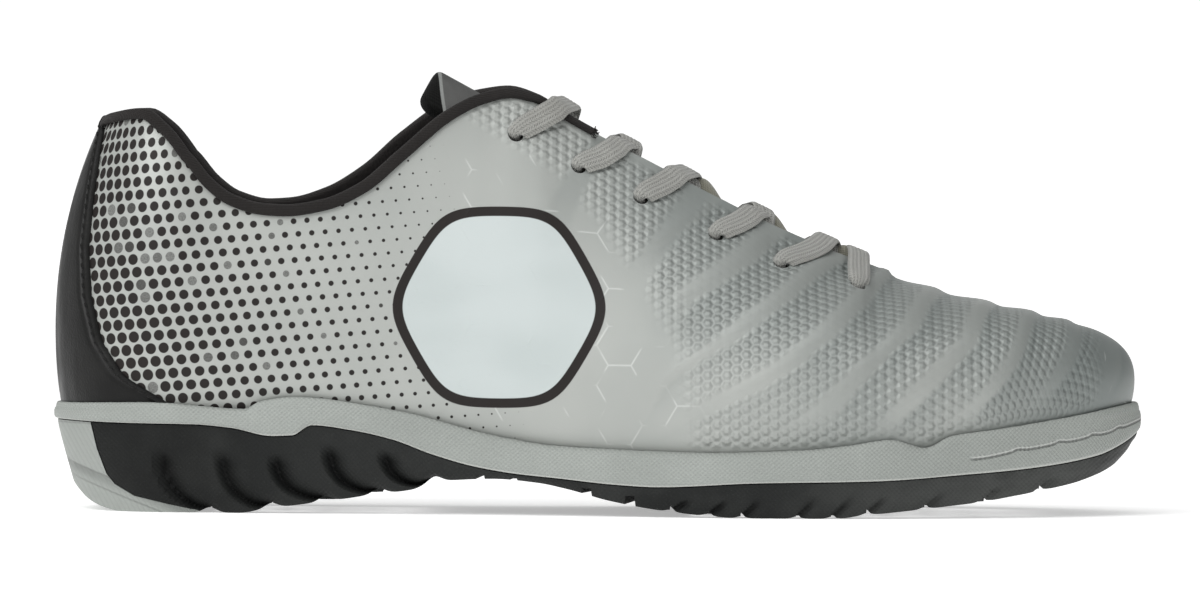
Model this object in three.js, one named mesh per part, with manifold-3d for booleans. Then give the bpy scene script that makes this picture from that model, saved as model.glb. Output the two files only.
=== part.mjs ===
// A laced turf soccer shoe for the right foot, low cut, with a moulded cup sole and a studded rubber tread.
// Millimetres. +X runs to the toe, +Y to the inner side of the foot, +Z up; the shoe stands on z = 0.
// The form is set by half sections: planes that fan round the heel, run along the body and fan round the toe.
// In each one a curve climbs from the edge of the sole to the collar, the throat or the ridge of the toe.
import * as THREE from "three";
import Module from "manifold-3d";

const wasm = await Module();
wasm.setup();

// Overall sizes
const length = 290; // heel to toe, over the sole
const ballBreadth = 102; // over the sole at the ball of the foot
const heelBreadth = 72; // over the sole at the heel
const toeRound = 45; // from the centre of the toe's fan to its tip
const toeSwing = 6; // how far the toe's centreline lies to the inner side of the heel's
const heelHeight = 107; // ground to the collar's highest point beside the heel
const instepHeight = 113; // ground to the top corner of the eyestay
const soleHeight = 30; // ground to the sidewall's lip at the heel

// Thicknesses and clearances
const wall = 1.8; // synthetic skin with its backing
const rimWall = 2.4; // turned edge under the binding
const collarPad = 3; // foam behind the collar, added to the wall
const gap = 0.3; // between pieces that touch
const counterThick = 1;
const bindingThick = 0.9;
const bindingWidth = 2.7;
const insoleThick = 3;
const tongueThick = 4.5;
const lipThick = 1.4; // top edge of the sidewall
const counterFree = 0.8; // from the counter to the binding

// Laces and eyelets
const eyeletRadius = 2.1;
const eyeletSet = 14; // eyelet's centre to the throat's edge, along the skin
const laceWidth = 6.8;
const laceThick = 1.2;
const laceRoom = 3.4; // the tongue's depth below the eyestays
const facetSag = 0.2; // how far a flat facet may cut into the curve under a lace
const crown = 1.4; // rise of the laces between the two eyestays

// Tread
const lugDepth = 2.8;
const blockReach = 11; // the edge blocks' width
const studRadius = 4.2;
const studPitch = 13;
const sideGrooveDepth = 2.4;

const OUTER = -1;
const INNER = 1;
const half = ballBreadth / 2;
const heelCentre = heelBreadth / 2;
const toeCentre = length - toeRound;
const bodyLength = toeCentre - heelCentre;

const share = (v, a, b) => Math.min(Math.max((v - a) / (b - a), 0), 1);
const ease = (v, a, b) => share(v, a, b) ** 2 * (3 - 2 * share(v, a, b));
const mix = (a, b, t) => a + (b - a) * t;

// Places along a half outline: 0 to 1 round the heel, 1 to 4 along the body, 4 to 5 round the toe.
const atHeel = (degrees) => degrees / 90; // 0 is straight back
const atBody = (bodyShare) => 1 + 3 * bodyShare; // 0 at the heel's centre, 1 at the toe's
const atToe = (degrees) => 5 - degrees / 90; // 0 is the tip
const placeOfX = (x) => atBody((x - heelCentre) / bodyLength);
const xOfPlace = (place) => heelCentre + (bodyLength * (place - 1)) / 3;

// The form. out: the upper's half breadth, and sole: the sole's, both as shares of half the ball breadth,
// for the outer and the inner side. wide: height of the widest point, as a share of the instep height.
// tuck: how much narrower the bottom edge is, as a share of half the ball breadth. full: roundness.
const FORM = [
  { at: atHeel(0), outOuter: 0.68, outInner: 0.68, soleOuter: 0.706, soleInner: 0.706, wide: 0.43, tuck: 0.039, full: 0.35 },
  { at: atHeel(30), outOuter: 0.68, outInner: 0.68, soleOuter: 0.706, soleInner: 0.706, wide: 0.425, tuck: 0.039, full: 0.35 },
  { at: atHeel(60), outOuter: 0.675, outInner: 0.675, soleOuter: 0.702, soleInner: 0.702, wide: 0.415, tuck: 0.041, full: 0.36 },
  { at: atBody(0), outOuter: 0.665, outInner: 0.665, soleOuter: 0.7, soleInner: 0.698, wide: 0.4, tuck: 0.045, full: 0.37 },
  { at: atBody(0.115), outOuter: 0.675, outInner: 0.66, soleOuter: 0.725, soleInner: 0.69, wide: 0.365, tuck: 0.05, full: 0.38 },
  { at: atBody(0.234), outOuter: 0.685, outInner: 0.62, soleOuter: 0.735, soleInner: 0.63, wide: 0.33, tuck: 0.06, full: 0.36 },
  { at: atBody(0.354), outOuter: 0.705, outInner: 0.58, soleOuter: 0.755, soleInner: 0.565, wide: 0.295, tuck: 0.069, full: 0.35 },
  { at: atBody(0.474), outOuter: 0.775, outInner: 0.6, soleOuter: 0.84, soleInner: 0.575, wide: 0.27, tuck: 0.075, full: 0.35 },
  { at: atBody(0.593), outOuter: 0.89, outInner: 0.68, soleOuter: 0.965, soleInner: 0.69, wide: 0.25, tuck: 0.078, full: 0.37 },
  { at: atBody(0.713), outOuter: 0.99, outInner: 0.795, soleOuter: 1.065, soleInner: 0.835, wide: 0.245, tuck: 0.078, full: 0.42 },
  { at: atBody(0.833), outOuter: 1.005, outInner: 0.87, soleOuter: 1.07, soleInner: 0.925, wide: 0.25, tuck: 0.078, full: 0.5 },
  { at: atBody(0.928), outOuter: 0.935, outInner: 0.87, soleOuter: 0.99, soleInner: 0.92, wide: 0.262, tuck: 0.078, full: 0.58 },
  { at: atBody(1), outOuter: 0.84, outInner: 0.825, soleOuter: 0.888, soleInner: 0.868, wide: 0.278, tuck: 0.078, full: 0.62 },
  { at: atToe(60), outOuter: 0.75, outInner: 0.757, soleOuter: 0.79, soleInner: 0.797, wide: 0.298, tuck: 0.078, full: 0.65 },
  { at: atToe(30), outOuter: 0.787, outInner: 0.797, soleOuter: 0.823, soleInner: 0.832, wide: 0.312, tuck: 0.078, full: 0.65 },
  { at: atToe(0), outOuter: 0.849, outInner: 0.849, soleOuter: 0.882, soleInner: 0.882, wide: 0.318, tuck: 0.075, full: 0.62 },
];

// The upper's top edge: collar, top corner, throat and, from the throat's front on, the ridge of the toe.
// z: height on the outer and the inner side, as shares of the heel height round the heel and of the instep
// height from the collar's low point on. r: distance from the centreline, as a share of half the ball
// breadth. lean: the wall's angle from upright there, in degrees.
const THROAT_FRONT = 0.871;
const TOPLINE = [
  { at: atHeel(0), zOuter: 0.966, zInner: 0.966, r: 0.441, lean: 25 },
  { at: atHeel(30), zOuter: 0.977, zInner: 0.977, r: 0.447, lean: 25 },
  { at: atHeel(60), zOuter: 0.988, zInner: 0.988, r: 0.463, lean: 24 },
  { at: atHeel(76), zOuter: 0.95, zInner: 0.954, r: 0.482, lean: 22 },
  { at: atBody(0), zOuter: 0.882, zInner: 0.886, r: 0.506, lean: 20 },
  { at: atBody(0.029), zOuter: 0.817, zInner: 0.82, r: 0.529, lean: 17 },
  { at: atBody(0.057), zOuter: 0.777, zInner: 0.781, r: 0.549, lean: 14 },
  { at: atBody(0.096), zOuter: 0.755, zInner: 0.762, r: 0.565, lean: 11 },
  { at: atBody(0.124), zOuter: 0.752, zInner: 0.765, r: 0.569, lean: 10 },
  { at: atBody(0.172), zOuter: 0.766, zInner: 0.793, r: 0.565, lean: 11 },
  { at: atBody(0.22), zOuter: 0.808, zInner: 0.85, r: 0.539, lean: 13 },
  { at: atBody(0.268), zOuter: 0.888, zInner: 0.933, r: 0.48, lean: 15 },
  { at: atBody(0.33), zOuter: 0.99, zInner: 1.017, r: 0.385, lean: 19 },
  { at: atBody(0.371), zOuter: 1.03, zInner: 1.042, r: 0.32, lean: 24 },
  { at: atBody(0.404), zOuter: 1.044, zInner: 1.05, r: 0.272, lean: 29 },
  { at: atBody(0.44), zOuter: 1.029, zInner: 1.03, r: 0.248, lean: 33 },
  { at: atBody(0.474), zOuter: 0.987, zInner: 0.987, r: 0.236, lean: 36 },
  { at: atBody(0.512), zOuter: 0.945, zInner: 0.945, r: 0.229, lean: 38 },
  { at: atBody(0.593), zOuter: 0.864, zInner: 0.864, r: 0.22, lean: 43 },
  { at: atBody(0.665), zOuter: 0.791, zInner: 0.791, r: 0.212, lean: 48 },
  { at: atBody(0.737), zOuter: 0.722, zInner: 0.722, r: 0.2, lean: 55 },
  { at: atBody(0.799), zOuter: 0.669, zInner: 0.669, r: 0.175, lean: 62 },
  { at: atBody(0.837), zOuter: 0.64, zInner: 0.64, r: 0.135, lean: 67 },
  { at: atBody(0.861), zOuter: 0.623, zInner: 0.623, r: 0.07, lean: 71 },
  { at: atBody(THROAT_FRONT), zOuter: 0.617, zInner: 0.617, r: 0, lean: 73 },
  { at: atBody(0.928), zOuter: 0.572, zInner: 0.572, r: 0, lean: 83 },
  { at: atBody(1), zOuter: 0.536, zInner: 0.536, r: 0, lean: 90 },
];
const HEIGHTS_CHANGE = atBody(0.1); // before it the topline's heights follow the heel height
const instepUnit = 0.947 * instepHeight; // what the shares of the instep height count

const ridgeFall = 0.22; // the toe ridge's slope at the centre of the toe's fan

// The sole seen from the side. x: share of the length. lip: top of the sidewall; seam: where the grey
// sidewall meets the black tread; floor: inside bottom; tread: the underside. All are shares of the sole height.
const LIP = [
  { at: 0, z: 1 }, { at: 0.09, z: 0.995 }, { at: 0.178, z: 0.98 }, { at: 0.193, z: 1.035 }, { at: 0.224, z: 1.053 },
  { at: 0.317, z: 0.963 }, { at: 0.409, z: 0.773 }, { at: 0.464, z: 0.687 }, { at: 0.52, z: 0.632 }, { at: 0.593, z: 0.617 },
  { at: 0.685, z: 0.642 }, { at: 0.766, z: 0.69 }, { at: 0.797, z: 0.645 }, { at: 0.821, z: 0.738 }, { at: 0.869, z: 0.803 },
  { at: 0.942, z: 0.923 }, { at: 1, z: 1.07 },
];
const SEAM = [
  { at: 0, z: 0.8 }, { at: 0.055, z: 0.787 }, { at: 0.13, z: 0.78 }, { at: 0.167, z: 0.75 }, { at: 0.203, z: 0.683 },
  { at: 0.222, z: 0.69 }, { at: 0.24, z: 0.78 }, { at: 0.277, z: 0.737 }, { at: 0.313, z: 0.66 }, { at: 0.35, z: 0.53 },
  { at: 0.387, z: 0.43 }, { at: 0.424, z: 0.37 }, { at: 0.461, z: 0.335 }, { at: 0.516, z: 0.283 }, { at: 0.552, z: 0.267 },
  { at: 0.645, z: 0.31 }, { at: 0.755, z: 0.333 }, { at: 0.828, z: 0.383 }, { at: 0.903, z: 0.45 }, { at: 0.957, z: 0.543 },
  { at: 0.983, z: 0.65 }, { at: 1, z: 0.76 },
];
const FLOOR = [
  { at: 0, z: 0.88 }, { at: 0.172, z: 0.875 }, { at: 0.25, z: 0.86 }, { at: 0.31, z: 0.765 }, { at: 0.38, z: 0.6 },
  { at: 0.448, z: 0.475 }, { at: 0.517, z: 0.405 }, { at: 0.586, z: 0.385 }, { at: 0.7, z: 0.4 }, { at: 0.793, z: 0.445 },
  { at: 0.862, z: 0.525 }, { at: 0.914, z: 0.61 }, { at: 0.966, z: 0.735 }, { at: 1, z: 0.84 },
];
const TREAD = [
  { at: 0, z: 0.55 }, { at: 0.019, z: 0.347 }, { at: 0.032, z: 0.217 }, { at: 0.054, z: 0.09 }, { at: 0.074, z: 0.035 },
  { at: 0.1, z: 0 }, { at: 0.172, z: 0 }, { at: 0.195, z: 0.03 }, { at: 0.221, z: 0.067 }, { at: 0.259, z: 0.115 },
  { at: 0.295, z: 0.17 }, { at: 0.33, z: 0.215 }, { at: 0.354, z: 0.29 }, { at: 0.407, z: 0.318 }, { at: 0.445, z: 0.288 },
  { at: 0.472, z: 0.237 }, { at: 0.51, z: 0.14 }, { at: 0.552, z: 0.067 }, { at: 0.593, z: 0.023 }, { at: 0.631, z: 0 },
  { at: 0.714, z: 0 }, { at: 0.741, z: 0.033 }, { at: 0.772, z: 0.063 }, { at: 0.81, z: 0.107 }, { at: 0.847, z: 0.163 },
  { at: 0.883, z: 0.233 }, { at: 0.921, z: 0.3 }, { at: 0.957, z: 0.4 }, { at: 0.976, z: 0.517 }, { at: 1, z: 0.7 },
];
const PLATE = 1.1; // thinnest rubber between the seam and the underside

// A smooth curve through one column of a table. A sharp one never swings past its rows. Both start level.
function curve(rows, key, at, sharp = false) {
  const last = rows.length - 1;
  if (at <= rows[0].at) return rows[0][key];
  if (at >= rows[last].at) return rows[last][key];
  const i = rows.findIndex((row) => row.at > at) - 1;
  const rise = (j) => (rows[j + 1][key] - rows[j][key]) / (rows[j + 1].at - rows[j].at);
  const slope = (j) => {
    if (j === 0) return 0;
    if (j === last) return sharp ? rise(last - 1) : 0;
    const before = rise(j - 1);
    const after = rise(j);
    if (sharp) return before * after <= 0 ? 0 : (2 * before * after) / (before + after);
    const wb = rows[j].at - rows[j - 1].at;
    const wa = rows[j + 1].at - rows[j].at;
    return (before * wa + after * wb) / (wa + wb);
  };
  const span = rows[i + 1].at - rows[i].at;
  const t = (at - rows[i].at) / span;
  const a = rows[i][key];
  const b = rows[i + 1][key];
  const ma = slope(i) * span;
  const mb = slope(i + 1) * span;
  return a + t * (ma + t * (3 * (b - a) - 2 * ma - mb + t * (2 * (a - b) + ma + mb)));
}

const lipZ = (x) => soleHeight * curve(LIP, "z", x / length, true);
const seamZ = (x) => soleHeight * curve(SEAM, "z", x / length, true);
const floorZ = (x) => soleHeight * curve(FLOOR, "z", x / length);
const treadZ = (x) => Math.min(soleHeight * curve(TREAD, "z", x / length, true), seamZ(x) - PLATE);

const centreY = (x) => toeSwing * ease(x, heelCentre + 0.26 * bodyLength, toeCentre);

// Where a half section starts on the centreline, and the direction that it runs out in, in plan.
function ray(side, place) {
  if (place < 1) {
    const a = (place * Math.PI) / 2;
    return { x: heelCentre, y: 0, dx: -Math.cos(a), dy: side * Math.sin(a) };
  }
  if (place <= 4) {
    const x = xOfPlace(place);
    return { x, y: centreY(x), dx: 0, dy: side };
  }
  const a = ((5 - place) * Math.PI) / 2;
  return { x: toeCentre, y: toeSwing, dx: Math.cos(a), dy: side * Math.sin(a) };
}

const onRay = (line, r, z) => new THREE.Vector3(line.x + r * line.dx, line.y + r * line.dy, z);
const sideOf = (side) => (side === OUTER ? "Outer" : "Inner");

// The upper's edge at the collar, the throat or the ridge: distance from the centreline, height and lean.
function topEdge(side, place) {
  const key = "z" + sideOf(side);
  const unit = mix(heelHeight, instepUnit, share(place, HEIGHTS_CHANGE, atBody(0.33)));
  const z = unit * curve(TOPLINE, key, place, true);
  if (place >= 4) {
    const a = ((5 - place) * Math.PI) / 2;
    const fall = Math.atan(ridgeFall * Math.cos(a));
    return { r: 0, z, lean: Math.PI / 2 - fall };
  }
  const r = place >= atBody(THROAT_FRONT) ? 0 : half * curve(TOPLINE, "r", place, true);
  return { r, z, lean: (curve(TOPLINE, "lean", place, true) * Math.PI) / 180 };
}

// One half section of the upper, in its own plane: t is 0 at the bottom edge and 1 at the top edge.
const WIDEST = 0.25; // the share of t below the widest point
function sectionAt(side, place, t) {
  const line = ray(side, place);
  const out = half * curve(FORM, "out" + sideOf(side), place);
  const foot = out - half * curve(FORM, "tuck", place);
  const wide = instepHeight * curve(FORM, "wide", place);
  const bottom = floorZ(line.x + foot * line.dx) + gap;
  if (t < WIDEST) {
    const u = t / WIDEST;
    const pull = mix(bottom, wide, 0.4);
    const r = (1 - u) ** 2 * foot + (1 - (1 - u) ** 2) * out;
    return { r, z: (1 - u) ** 2 * bottom + 2 * u * (1 - u) * pull + u * u * wide };
  }
  const u = (t - WIDEST) / (1 - WIDEST);
  const top = topEdge(side, place);
  const full = curve(FORM, "full", place);
  const reach = full * ((out - top.r) * Math.sin(top.lean) + (top.z - wide) * Math.cos(top.lean));
  const handle = { r: top.r + reach * Math.sin(top.lean), z: top.z - reach * Math.cos(top.lean) };
  const b = [(1 - u) ** 3, 3 * u * (1 - u) ** 2, 3 * u * u * (1 - u), u ** 3];
  return {
    r: (b[0] + b[1]) * out + b[2] * handle.r + b[3] * top.r,
    z: b[0] * wide + b[1] * mix(wide, top.z, full) + b[2] * handle.z + b[3] * top.z,
  };
}

function skinPoint(side, place, t) {
  const p = sectionAt(side, place, t);
  return onRay(ray(side, place), p.r, p.z);
}

// The outward normal of the upper's skin, from its neighbours in the two directions.
function skinNormal(side, place, t) {
  const d = 0.004;
  const along = skinPoint(side, Math.min(place + d, 5), t).sub(skinPoint(side, Math.max(place - d, 0.001), t));
  const up = skinPoint(side, place, Math.min(t + d, 1)).sub(skinPoint(side, place, Math.max(t - d, 0)));
  return along.cross(up).multiplyScalar(-side).normalize();
}

// How thick the upper's wall is: turned at the rim, padded behind the collar, plain elsewhere.
function wallAt(place, t) {
  const below = (1 - t) / (1 - WIDEST); // share of the way down from the top edge
  const collar = 1 - ease(place, atBody(0.28), atBody(0.4));
  const pad = ease(below, 0.1, 0.22) * (1 - ease(below, 0.3, 0.62));
  const rim = 1 - ease(below, 0.1, 0.3);
  return wall + collar * (collarPad * pad + (rimWall - wall) * rim);
}

// A closed solid from a skin of points and faces: the skin, a copy of it pushed in by each point's
// thickness, and a strip round every open edge. Points in the same place are merged first.
function thicken(points, faces, thickness) {
  const merged = [];
  const seen = new Map();
  const index = points.map((p, i) => {
    const key = [p.x, p.y, p.z].map((v) => Math.round(v * 1e4)).join();
    if (!seen.has(key)) {
      seen.set(key, merged.length);
      merged.push({ p, thick: thickness[i], normal: new THREE.Vector3() });
    }
    return seen.get(key);
  });
  const kept = faces
    .map((face) => face.map((i) => index[i]))
    .filter(([a, b, c]) => a !== b && b !== c && c !== a);
  for (const [a, b, c] of kept) {
    const pa = merged[a].p;
    const area = merged[b].p.clone().sub(pa).cross(merged[c].p.clone().sub(pa));
    for (const i of [a, b, c]) merged[i].normal.add(area);
  }
  const inner = merged.map(({ p, thick, normal }) => p.clone().addScaledVector(normal.clone().normalize(), -thick));
  return closed(merged.map((m) => m.p), inner, kept);
}

// A closed solid between an outer and an inner copy of the same faces.
function closed(outer, inner, faces) {
  const n = outer.length;
  const edges = new Set(faces.flatMap(([a, b, c]) => [a + "," + b, b + "," + c, c + "," + a]));
  const triangles = [...faces, ...faces.map(([a, b, c]) => [a + n, c + n, b + n])];
  for (const edge of edges) {
    const [i, j] = edge.split(",").map(Number);
    if (!edges.has(j + "," + i)) triangles.push([j, i, i + n], [j, i + n, j + n]);
  }
  return geometryOf([...outer, ...inner], triangles);
}

function geometryOf(points, triangles) {
  const positions = new Float32Array(points.flatMap((p) => [p.x, p.y, p.z]));
  return new THREE.BufferGeometry()
    .setAttribute("position", new THREE.BufferAttribute(positions, 3))
    .setIndex(triangles.flat());
}

// Faces of a grid of points. Columns run along the first direction, rows along the second.
function gridFaces(columns, rows, closed = false) {
  const faces = [];
  for (let i = 0; i < (closed ? columns : columns - 1); i++) {
    const next = (i + 1) % columns;
    for (let j = 0; j + 1 < rows; j++) {
      const [a, b, c, d] = [i * rows + j, next * rows + j, next * rows + j + 1, i * rows + j + 1];
      faces.push([a, b, c], [a, c, d]);
    }
  }
  return faces;
}

// Solids for cutting and joining
function solidOf(geometry) {
  const triVerts = new Uint32Array(geometry.index.array);
  return new wasm.Manifold(
    new wasm.Mesh({ numProp: 3, vertProperties: geometry.attributes.position.array, triVerts }),
  );
}

function geometryFrom(solid) {
  const mesh = solid.getMesh();
  return new THREE.BufferGeometry()
    .setAttribute("position", new THREE.BufferAttribute(new Float32Array(mesh.vertProperties), 3))
    .setIndex(new THREE.BufferAttribute(new Uint32Array(mesh.triVerts), 1));
}

// A prism over a closed outline, between its two copies.
function prism(low, high) {
  const n = low.length;
  const flat = low.map((p) => new THREE.Vector2(p.u, p.v));
  const caps = THREE.ShapeUtils.triangulateShape(flat, []);
  const clockwise = THREE.ShapeUtils.isClockWise(flat);
  const turn = ([a, b, c]) => (clockwise ? [a, c, b] : [a, b, c]);
  const sides = low.flatMap((_, i) => {
    const j = (i + 1) % n;
    return [turn([i, j, j + n]), turn([i, j + n, i + n])];
  });
  const faces = caps.flatMap(([a, b, c]) => [[a, c, b], [a + n, b + n, c + n]]);
  return { faces: [...faces, ...sides], points: [...low.map((p) => p.p), ...high] };
}

// A cutter with an outline in X and Z, through the shoe from y0 to y1.
function crossCutter(outline, y0, y1) {
  const low = outline.map(([x, z]) => ({ u: x, v: z, p: new THREE.Vector3(x, y1, z) }));
  const high = outline.map(([x, z]) => new THREE.Vector3(x, y0, z));
  const { faces, points } = prism(low, high);
  return solidOf(geometryOf(points, faces));
}

// The half outlines in order: the outer side from heel to toe, then the inner side back.
const ringOf = (places) => [
  ...places.map((place) => [OUTER, place]),
  ...places.slice(1, -1).reverse().map((place) => [INNER, place]),
];

// Upper
const HEEL_FAN = [0, 15, 30, 45, 60, 76].map(atHeel);
const TOE_FAN = [75, 60, 45, 30, 15, 0].map(atToe);
const BODY_STEPS = [
  0, 0.029, 0.057, 0.096, 0.14, 0.18, 0.22, 0.268, 0.3, 0.335, 0.371, 0.404, 0.44, 0.474, 0.512, 0.56, 0.61, 0.66,
  0.71, 0.76, 0.8, 0.837, 0.858, THROAT_FRONT, 0.9, 0.935, 0.968, 1,
].map(atBody);
const UPPER_PLACES = [...HEEL_FAN, ...BODY_STEPS, ...TOE_FAN];
const UPPER_LEVELS = [0, 0.12, WIDEST, 0.4, 0.55, 0.69, 0.81, 0.91, 1];

// Eyelets: share of the body, and distance from the throat's edge as a share of the eyelet set.
const EYELET_ROWS = [
  { at: 0.415, set: 0.91 }, { at: 0.495, set: 0.97 }, { at: 0.574, set: 1 }, { at: 0.67, set: 1.06 },
  { at: 0.753, set: 1.15 }, { at: 0.85, set: 1.27 },
];
const EYELETS = EYELET_ROWS.map((row) => heelCentre + row.at * bodyLength);

// A point on the instep: x along the shoe, across: distance from the centreline measured over the
// laces and the eyestays, to the outer side if negative. lift: height over the skin.
function instepPoint(x, across) {
  const place = placeOfX(x);
  const side = across < 0 ? OUTER : INNER;
  const edge = topEdge(side, place);
  const other = topEdge(-side, place);
  const a = Math.abs(across);
  const y = centreY(x);
  if (a < edge.r) {
    const middle = (edge.z + other.z) / 2;
    const z = mix(middle, edge.z, a / edge.r) + crown * (1 - (a / edge.r) ** 2);
    return new THREE.Vector3(x, y + side * a, z);
  }
  let left = a - edge.r;
  let t = 1;
  const step = 0.03;
  let here = skinPoint(side, place, t);
  while (t > step) {
    const next = skinPoint(side, place, t - step);
    const d = here.distanceTo(next);
    if (d >= left) return here.lerp(next, left / d);
    left -= d;
    here = next;
    t -= step;
  }
  return here;
}

function instepNormal(x, across) {
  const d = 0.8;
  const along = instepPoint(x + d, across).sub(instepPoint(x - d, across));
  const over = instepPoint(x, across + d).sub(instepPoint(x, across - d));
  return along.cross(over).normalize();
}

function overInstep(x, across, lift) {
  return instepPoint(x, across).addScaledVector(instepNormal(x, across), lift);
}

function eyeletAcross(side, x) {
  const set = eyeletSet * curve(EYELET_ROWS, "set", (x - heelCentre) / bodyLength);
  return side * (topEdge(side, placeOfX(x)).r + set);
}

function makeUpper() {
  const ring = ringOf(UPPER_PLACES);
  const points = ring.flatMap(([side, place]) => UPPER_LEVELS.map((t) => skinPoint(side, place, t)));
  const thickness = ring.flatMap(([, place]) => UPPER_LEVELS.map((t) => wallAt(place, t)));
  const shell = solidOf(thicken(points, gridFaces(ring.length, UPPER_LEVELS.length, true), thickness));
  const punches = EYELETS.flatMap((x) => [OUTER, INNER].map((side) => eyeletPunch(side, x)));
  return geometryFrom(punches.reduce((solid, punch) => solid.subtract(punch), shell));
}

function eyeletPunch(side, x) {
  const across = eyeletAcross(side, x);
  const depth = 5 * wall;
  const pin = new THREE.CylinderGeometry(eyeletRadius, eyeletRadius, depth, 8);
  pin.applyQuaternion(
    new THREE.Quaternion().setFromUnitVectors(new THREE.Vector3(0, 1, 0), instepNormal(x, across)),
  );
  const p = instepPoint(x, across);
  pin.translate(p.x, p.y, p.z);
  return solidOf(welded(pin));
}

// A library shape with its shared corners merged.
function welded(geometry) {
  const position = geometry.attributes.position;
  const points = [];
  const seen = new Map();
  const index = [...geometry.index.array].map((i) => {
    const p = new THREE.Vector3().fromBufferAttribute(position, i);
    const key = [p.x, p.y, p.z].map((v) => Math.round(v * 1e4)).join();
    if (!seen.has(key)) {
      seen.set(key, points.length);
      points.push(p);
    }
    return seen.get(key);
  });
  const faces = [];
  for (let i = 0; i < index.length; i += 3) {
    const [a, b, c] = index.slice(i, i + 3);
    if (a !== b && b !== c && c !== a) faces.push([a, b, c]);
  }
  return geometryOf(points, faces);
}

// Heel counter: a stitched patch round the back of the heel, a slab parallel to the skin that is cut to
// its edge as seen from the side. x: share of the length, z: share of the heel height.
const COUNTER_EDGE = [
  { x: 0.11, z: 0.27 }, { x: 0.098, z: 0.288 }, { x: 0.069, z: 0.334 }, { x: 0.048, z: 0.418 }, { x: 0.0376, z: 0.528 },
  { x: 0.0345, z: 0.651 }, { x: 0.0386, z: 0.78 }, { x: 0.0448, z: 0.917 }, { x: 0.053, z: 1.05 },
];
function makeCounter() {
  const places = [...HEEL_FAN, ...BODY_STEPS.slice(0, 3)];
  const path = [
    ...places.slice().reverse().map((place) => [OUTER, place]),
    ...places.slice(1).map((place) => [INNER, place]),
  ];
  const points = path.flatMap(([side, place]) =>
    UPPER_LEVELS.map((t) => ({ p: skinPoint(side, place, t), n: skinNormal(side, place, t) })),
  );
  const lifted = (d) => points.map(({ p, n }) => p.clone().addScaledVector(n, d));
  const faces = gridFaces(path.length, UPPER_LEVELS.length).map(([a, b, c]) => [a, c, b]);
  const slab = solidOf(closed(lifted(gap + counterThick), lifted(gap), faces));
  const foot = lipZ(0) + 2 * gap;
  const topAt = (place) => {
    const rim = skinPoint(OUTER, place, 1);
    return [rim.x, rim.z - bindingWidth - counterFree];
  };
  const edge = COUNTER_EDGE.map(({ x, z }) => [x * length, z * heelHeight]).filter(([, z]) => z > foot);
  const [backX, backZ] = topAt(0);
  const [sideX, sideZ] = topAt(atHeel(60));
  const slope = (sideZ - backZ) / (sideX - backX);
  const roof = [[-length / 4, -1], [length / 4, -1], [length / 4, backZ + (length / 4 - backX) * slope], [-length / 4, backZ - (length / 4 + backX) * slope]];
  const outline = [[-length / 4, foot], [edge[0][0] + 3, foot], ...edge, [-length / 4, edge[edge.length - 1][1]]];
  const cut = slab.intersect(crossCutter(outline, -ballBreadth, ballBreadth));
  return geometryFrom(cut.intersect(crossCutter(roof, -ballBreadth, ballBreadth)));
}

// The level where the upper comes out of the sidewall, just above its lip.
function levelOfLip(side, place) {
  let t = 0;
  while (t < WIDEST && skinPoint(side, place, t).z < lipZ(skinPoint(side, place, t).x) + 2 * gap) t += 0.005;
  return t;
}

// The level just below the binding.
function levelUnderBinding(side, place) {
  const rim = skinPoint(side, place, 1);
  let t = 1;
  while (t > WIDEST && skinPoint(side, place, t).distanceTo(rim) < bindingWidth + counterFree) t -= 0.005;
  return t;
}

// Binding: a strip folded over the upper's rim, round the collar and past both top corners.
const BINDING_END = atBody(0.512);
function makeBinding() {
  const places = UPPER_PLACES.filter((place) => place < BINDING_END + 0.001);
  const path = [
    ...places.slice().reverse().map((place) => [OUTER, place]),
    ...places.slice(1).map((place) => [INNER, place]),
  ];
  const out = gap + bindingThick;
  const inside = rimWall + out;
  const fold = [
    [out, -bindingWidth], [out, 0], [out * 0.3, out], [-rimWall - out * 0.3, out], [-inside, 0], [-inside, -bindingWidth],
  ];
  const points = path.flatMap(([side, place]) => {
    const rim = skinPoint(side, place, 1);
    const normal = skinNormal(side, place, 0.996);
    const d = 0.01;
    const along = skinPoint(side, place + d, 1).sub(skinPoint(side, Math.max(place - d, 0), 1)).normalize();
    const up = along.clone().cross(normal).multiplyScalar(side).normalize();
    return fold.map(([o, u]) => rim.clone().addScaledVector(normal, o).addScaledVector(up, u));
  });
  return thicken(points, gridFaces(path.length, fold.length), points.map(() => bindingThick));
}

// Sole: the outline in plan, and how it draws in towards the ground.
// It always leaves room for the upper and the sidewall's lip.
const lipSpare = 0.7;
function soleRadius(side, place) {
  const own = half * curve(FORM, "sole" + sideOf(side), place);
  return Math.max(own, cupInside(side, place, levelOfLip(side, place)).r + lipThick + lipSpare);
}
// inset: share of the sole height.
const SOLE_TAPER = [
  { at: atHeel(0), inset: 0.14 }, { at: atHeel(45), inset: 0.133 }, { at: atBody(0), inset: 0.12 },
  { at: atBody(0.3), inset: 0.1 }, { at: atBody(0.6), inset: 0.08 }, { at: atBody(0.9), inset: 0.087 },
  { at: atToe(45), inset: 0.133 }, { at: atToe(0), inset: 0.183 },
];

const HEEL_STEPS = 17;
const FRONT_STEPS = 12;
const ARCH = 0.38; // share of the body that the heel's ribs and the arch need fine steps for
const SOLE_PLACES = [
  ...HEEL_FAN,
  ...Array.from({ length: HEEL_STEPS }, (_, i) => atBody((ARCH * i) / HEEL_STEPS)),
  ...Array.from({ length: FRONT_STEPS + 1 }, (_, i) => atBody(mix(ARCH, 1, i / FRONT_STEPS))),
  ...TOE_FAN,
];

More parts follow.
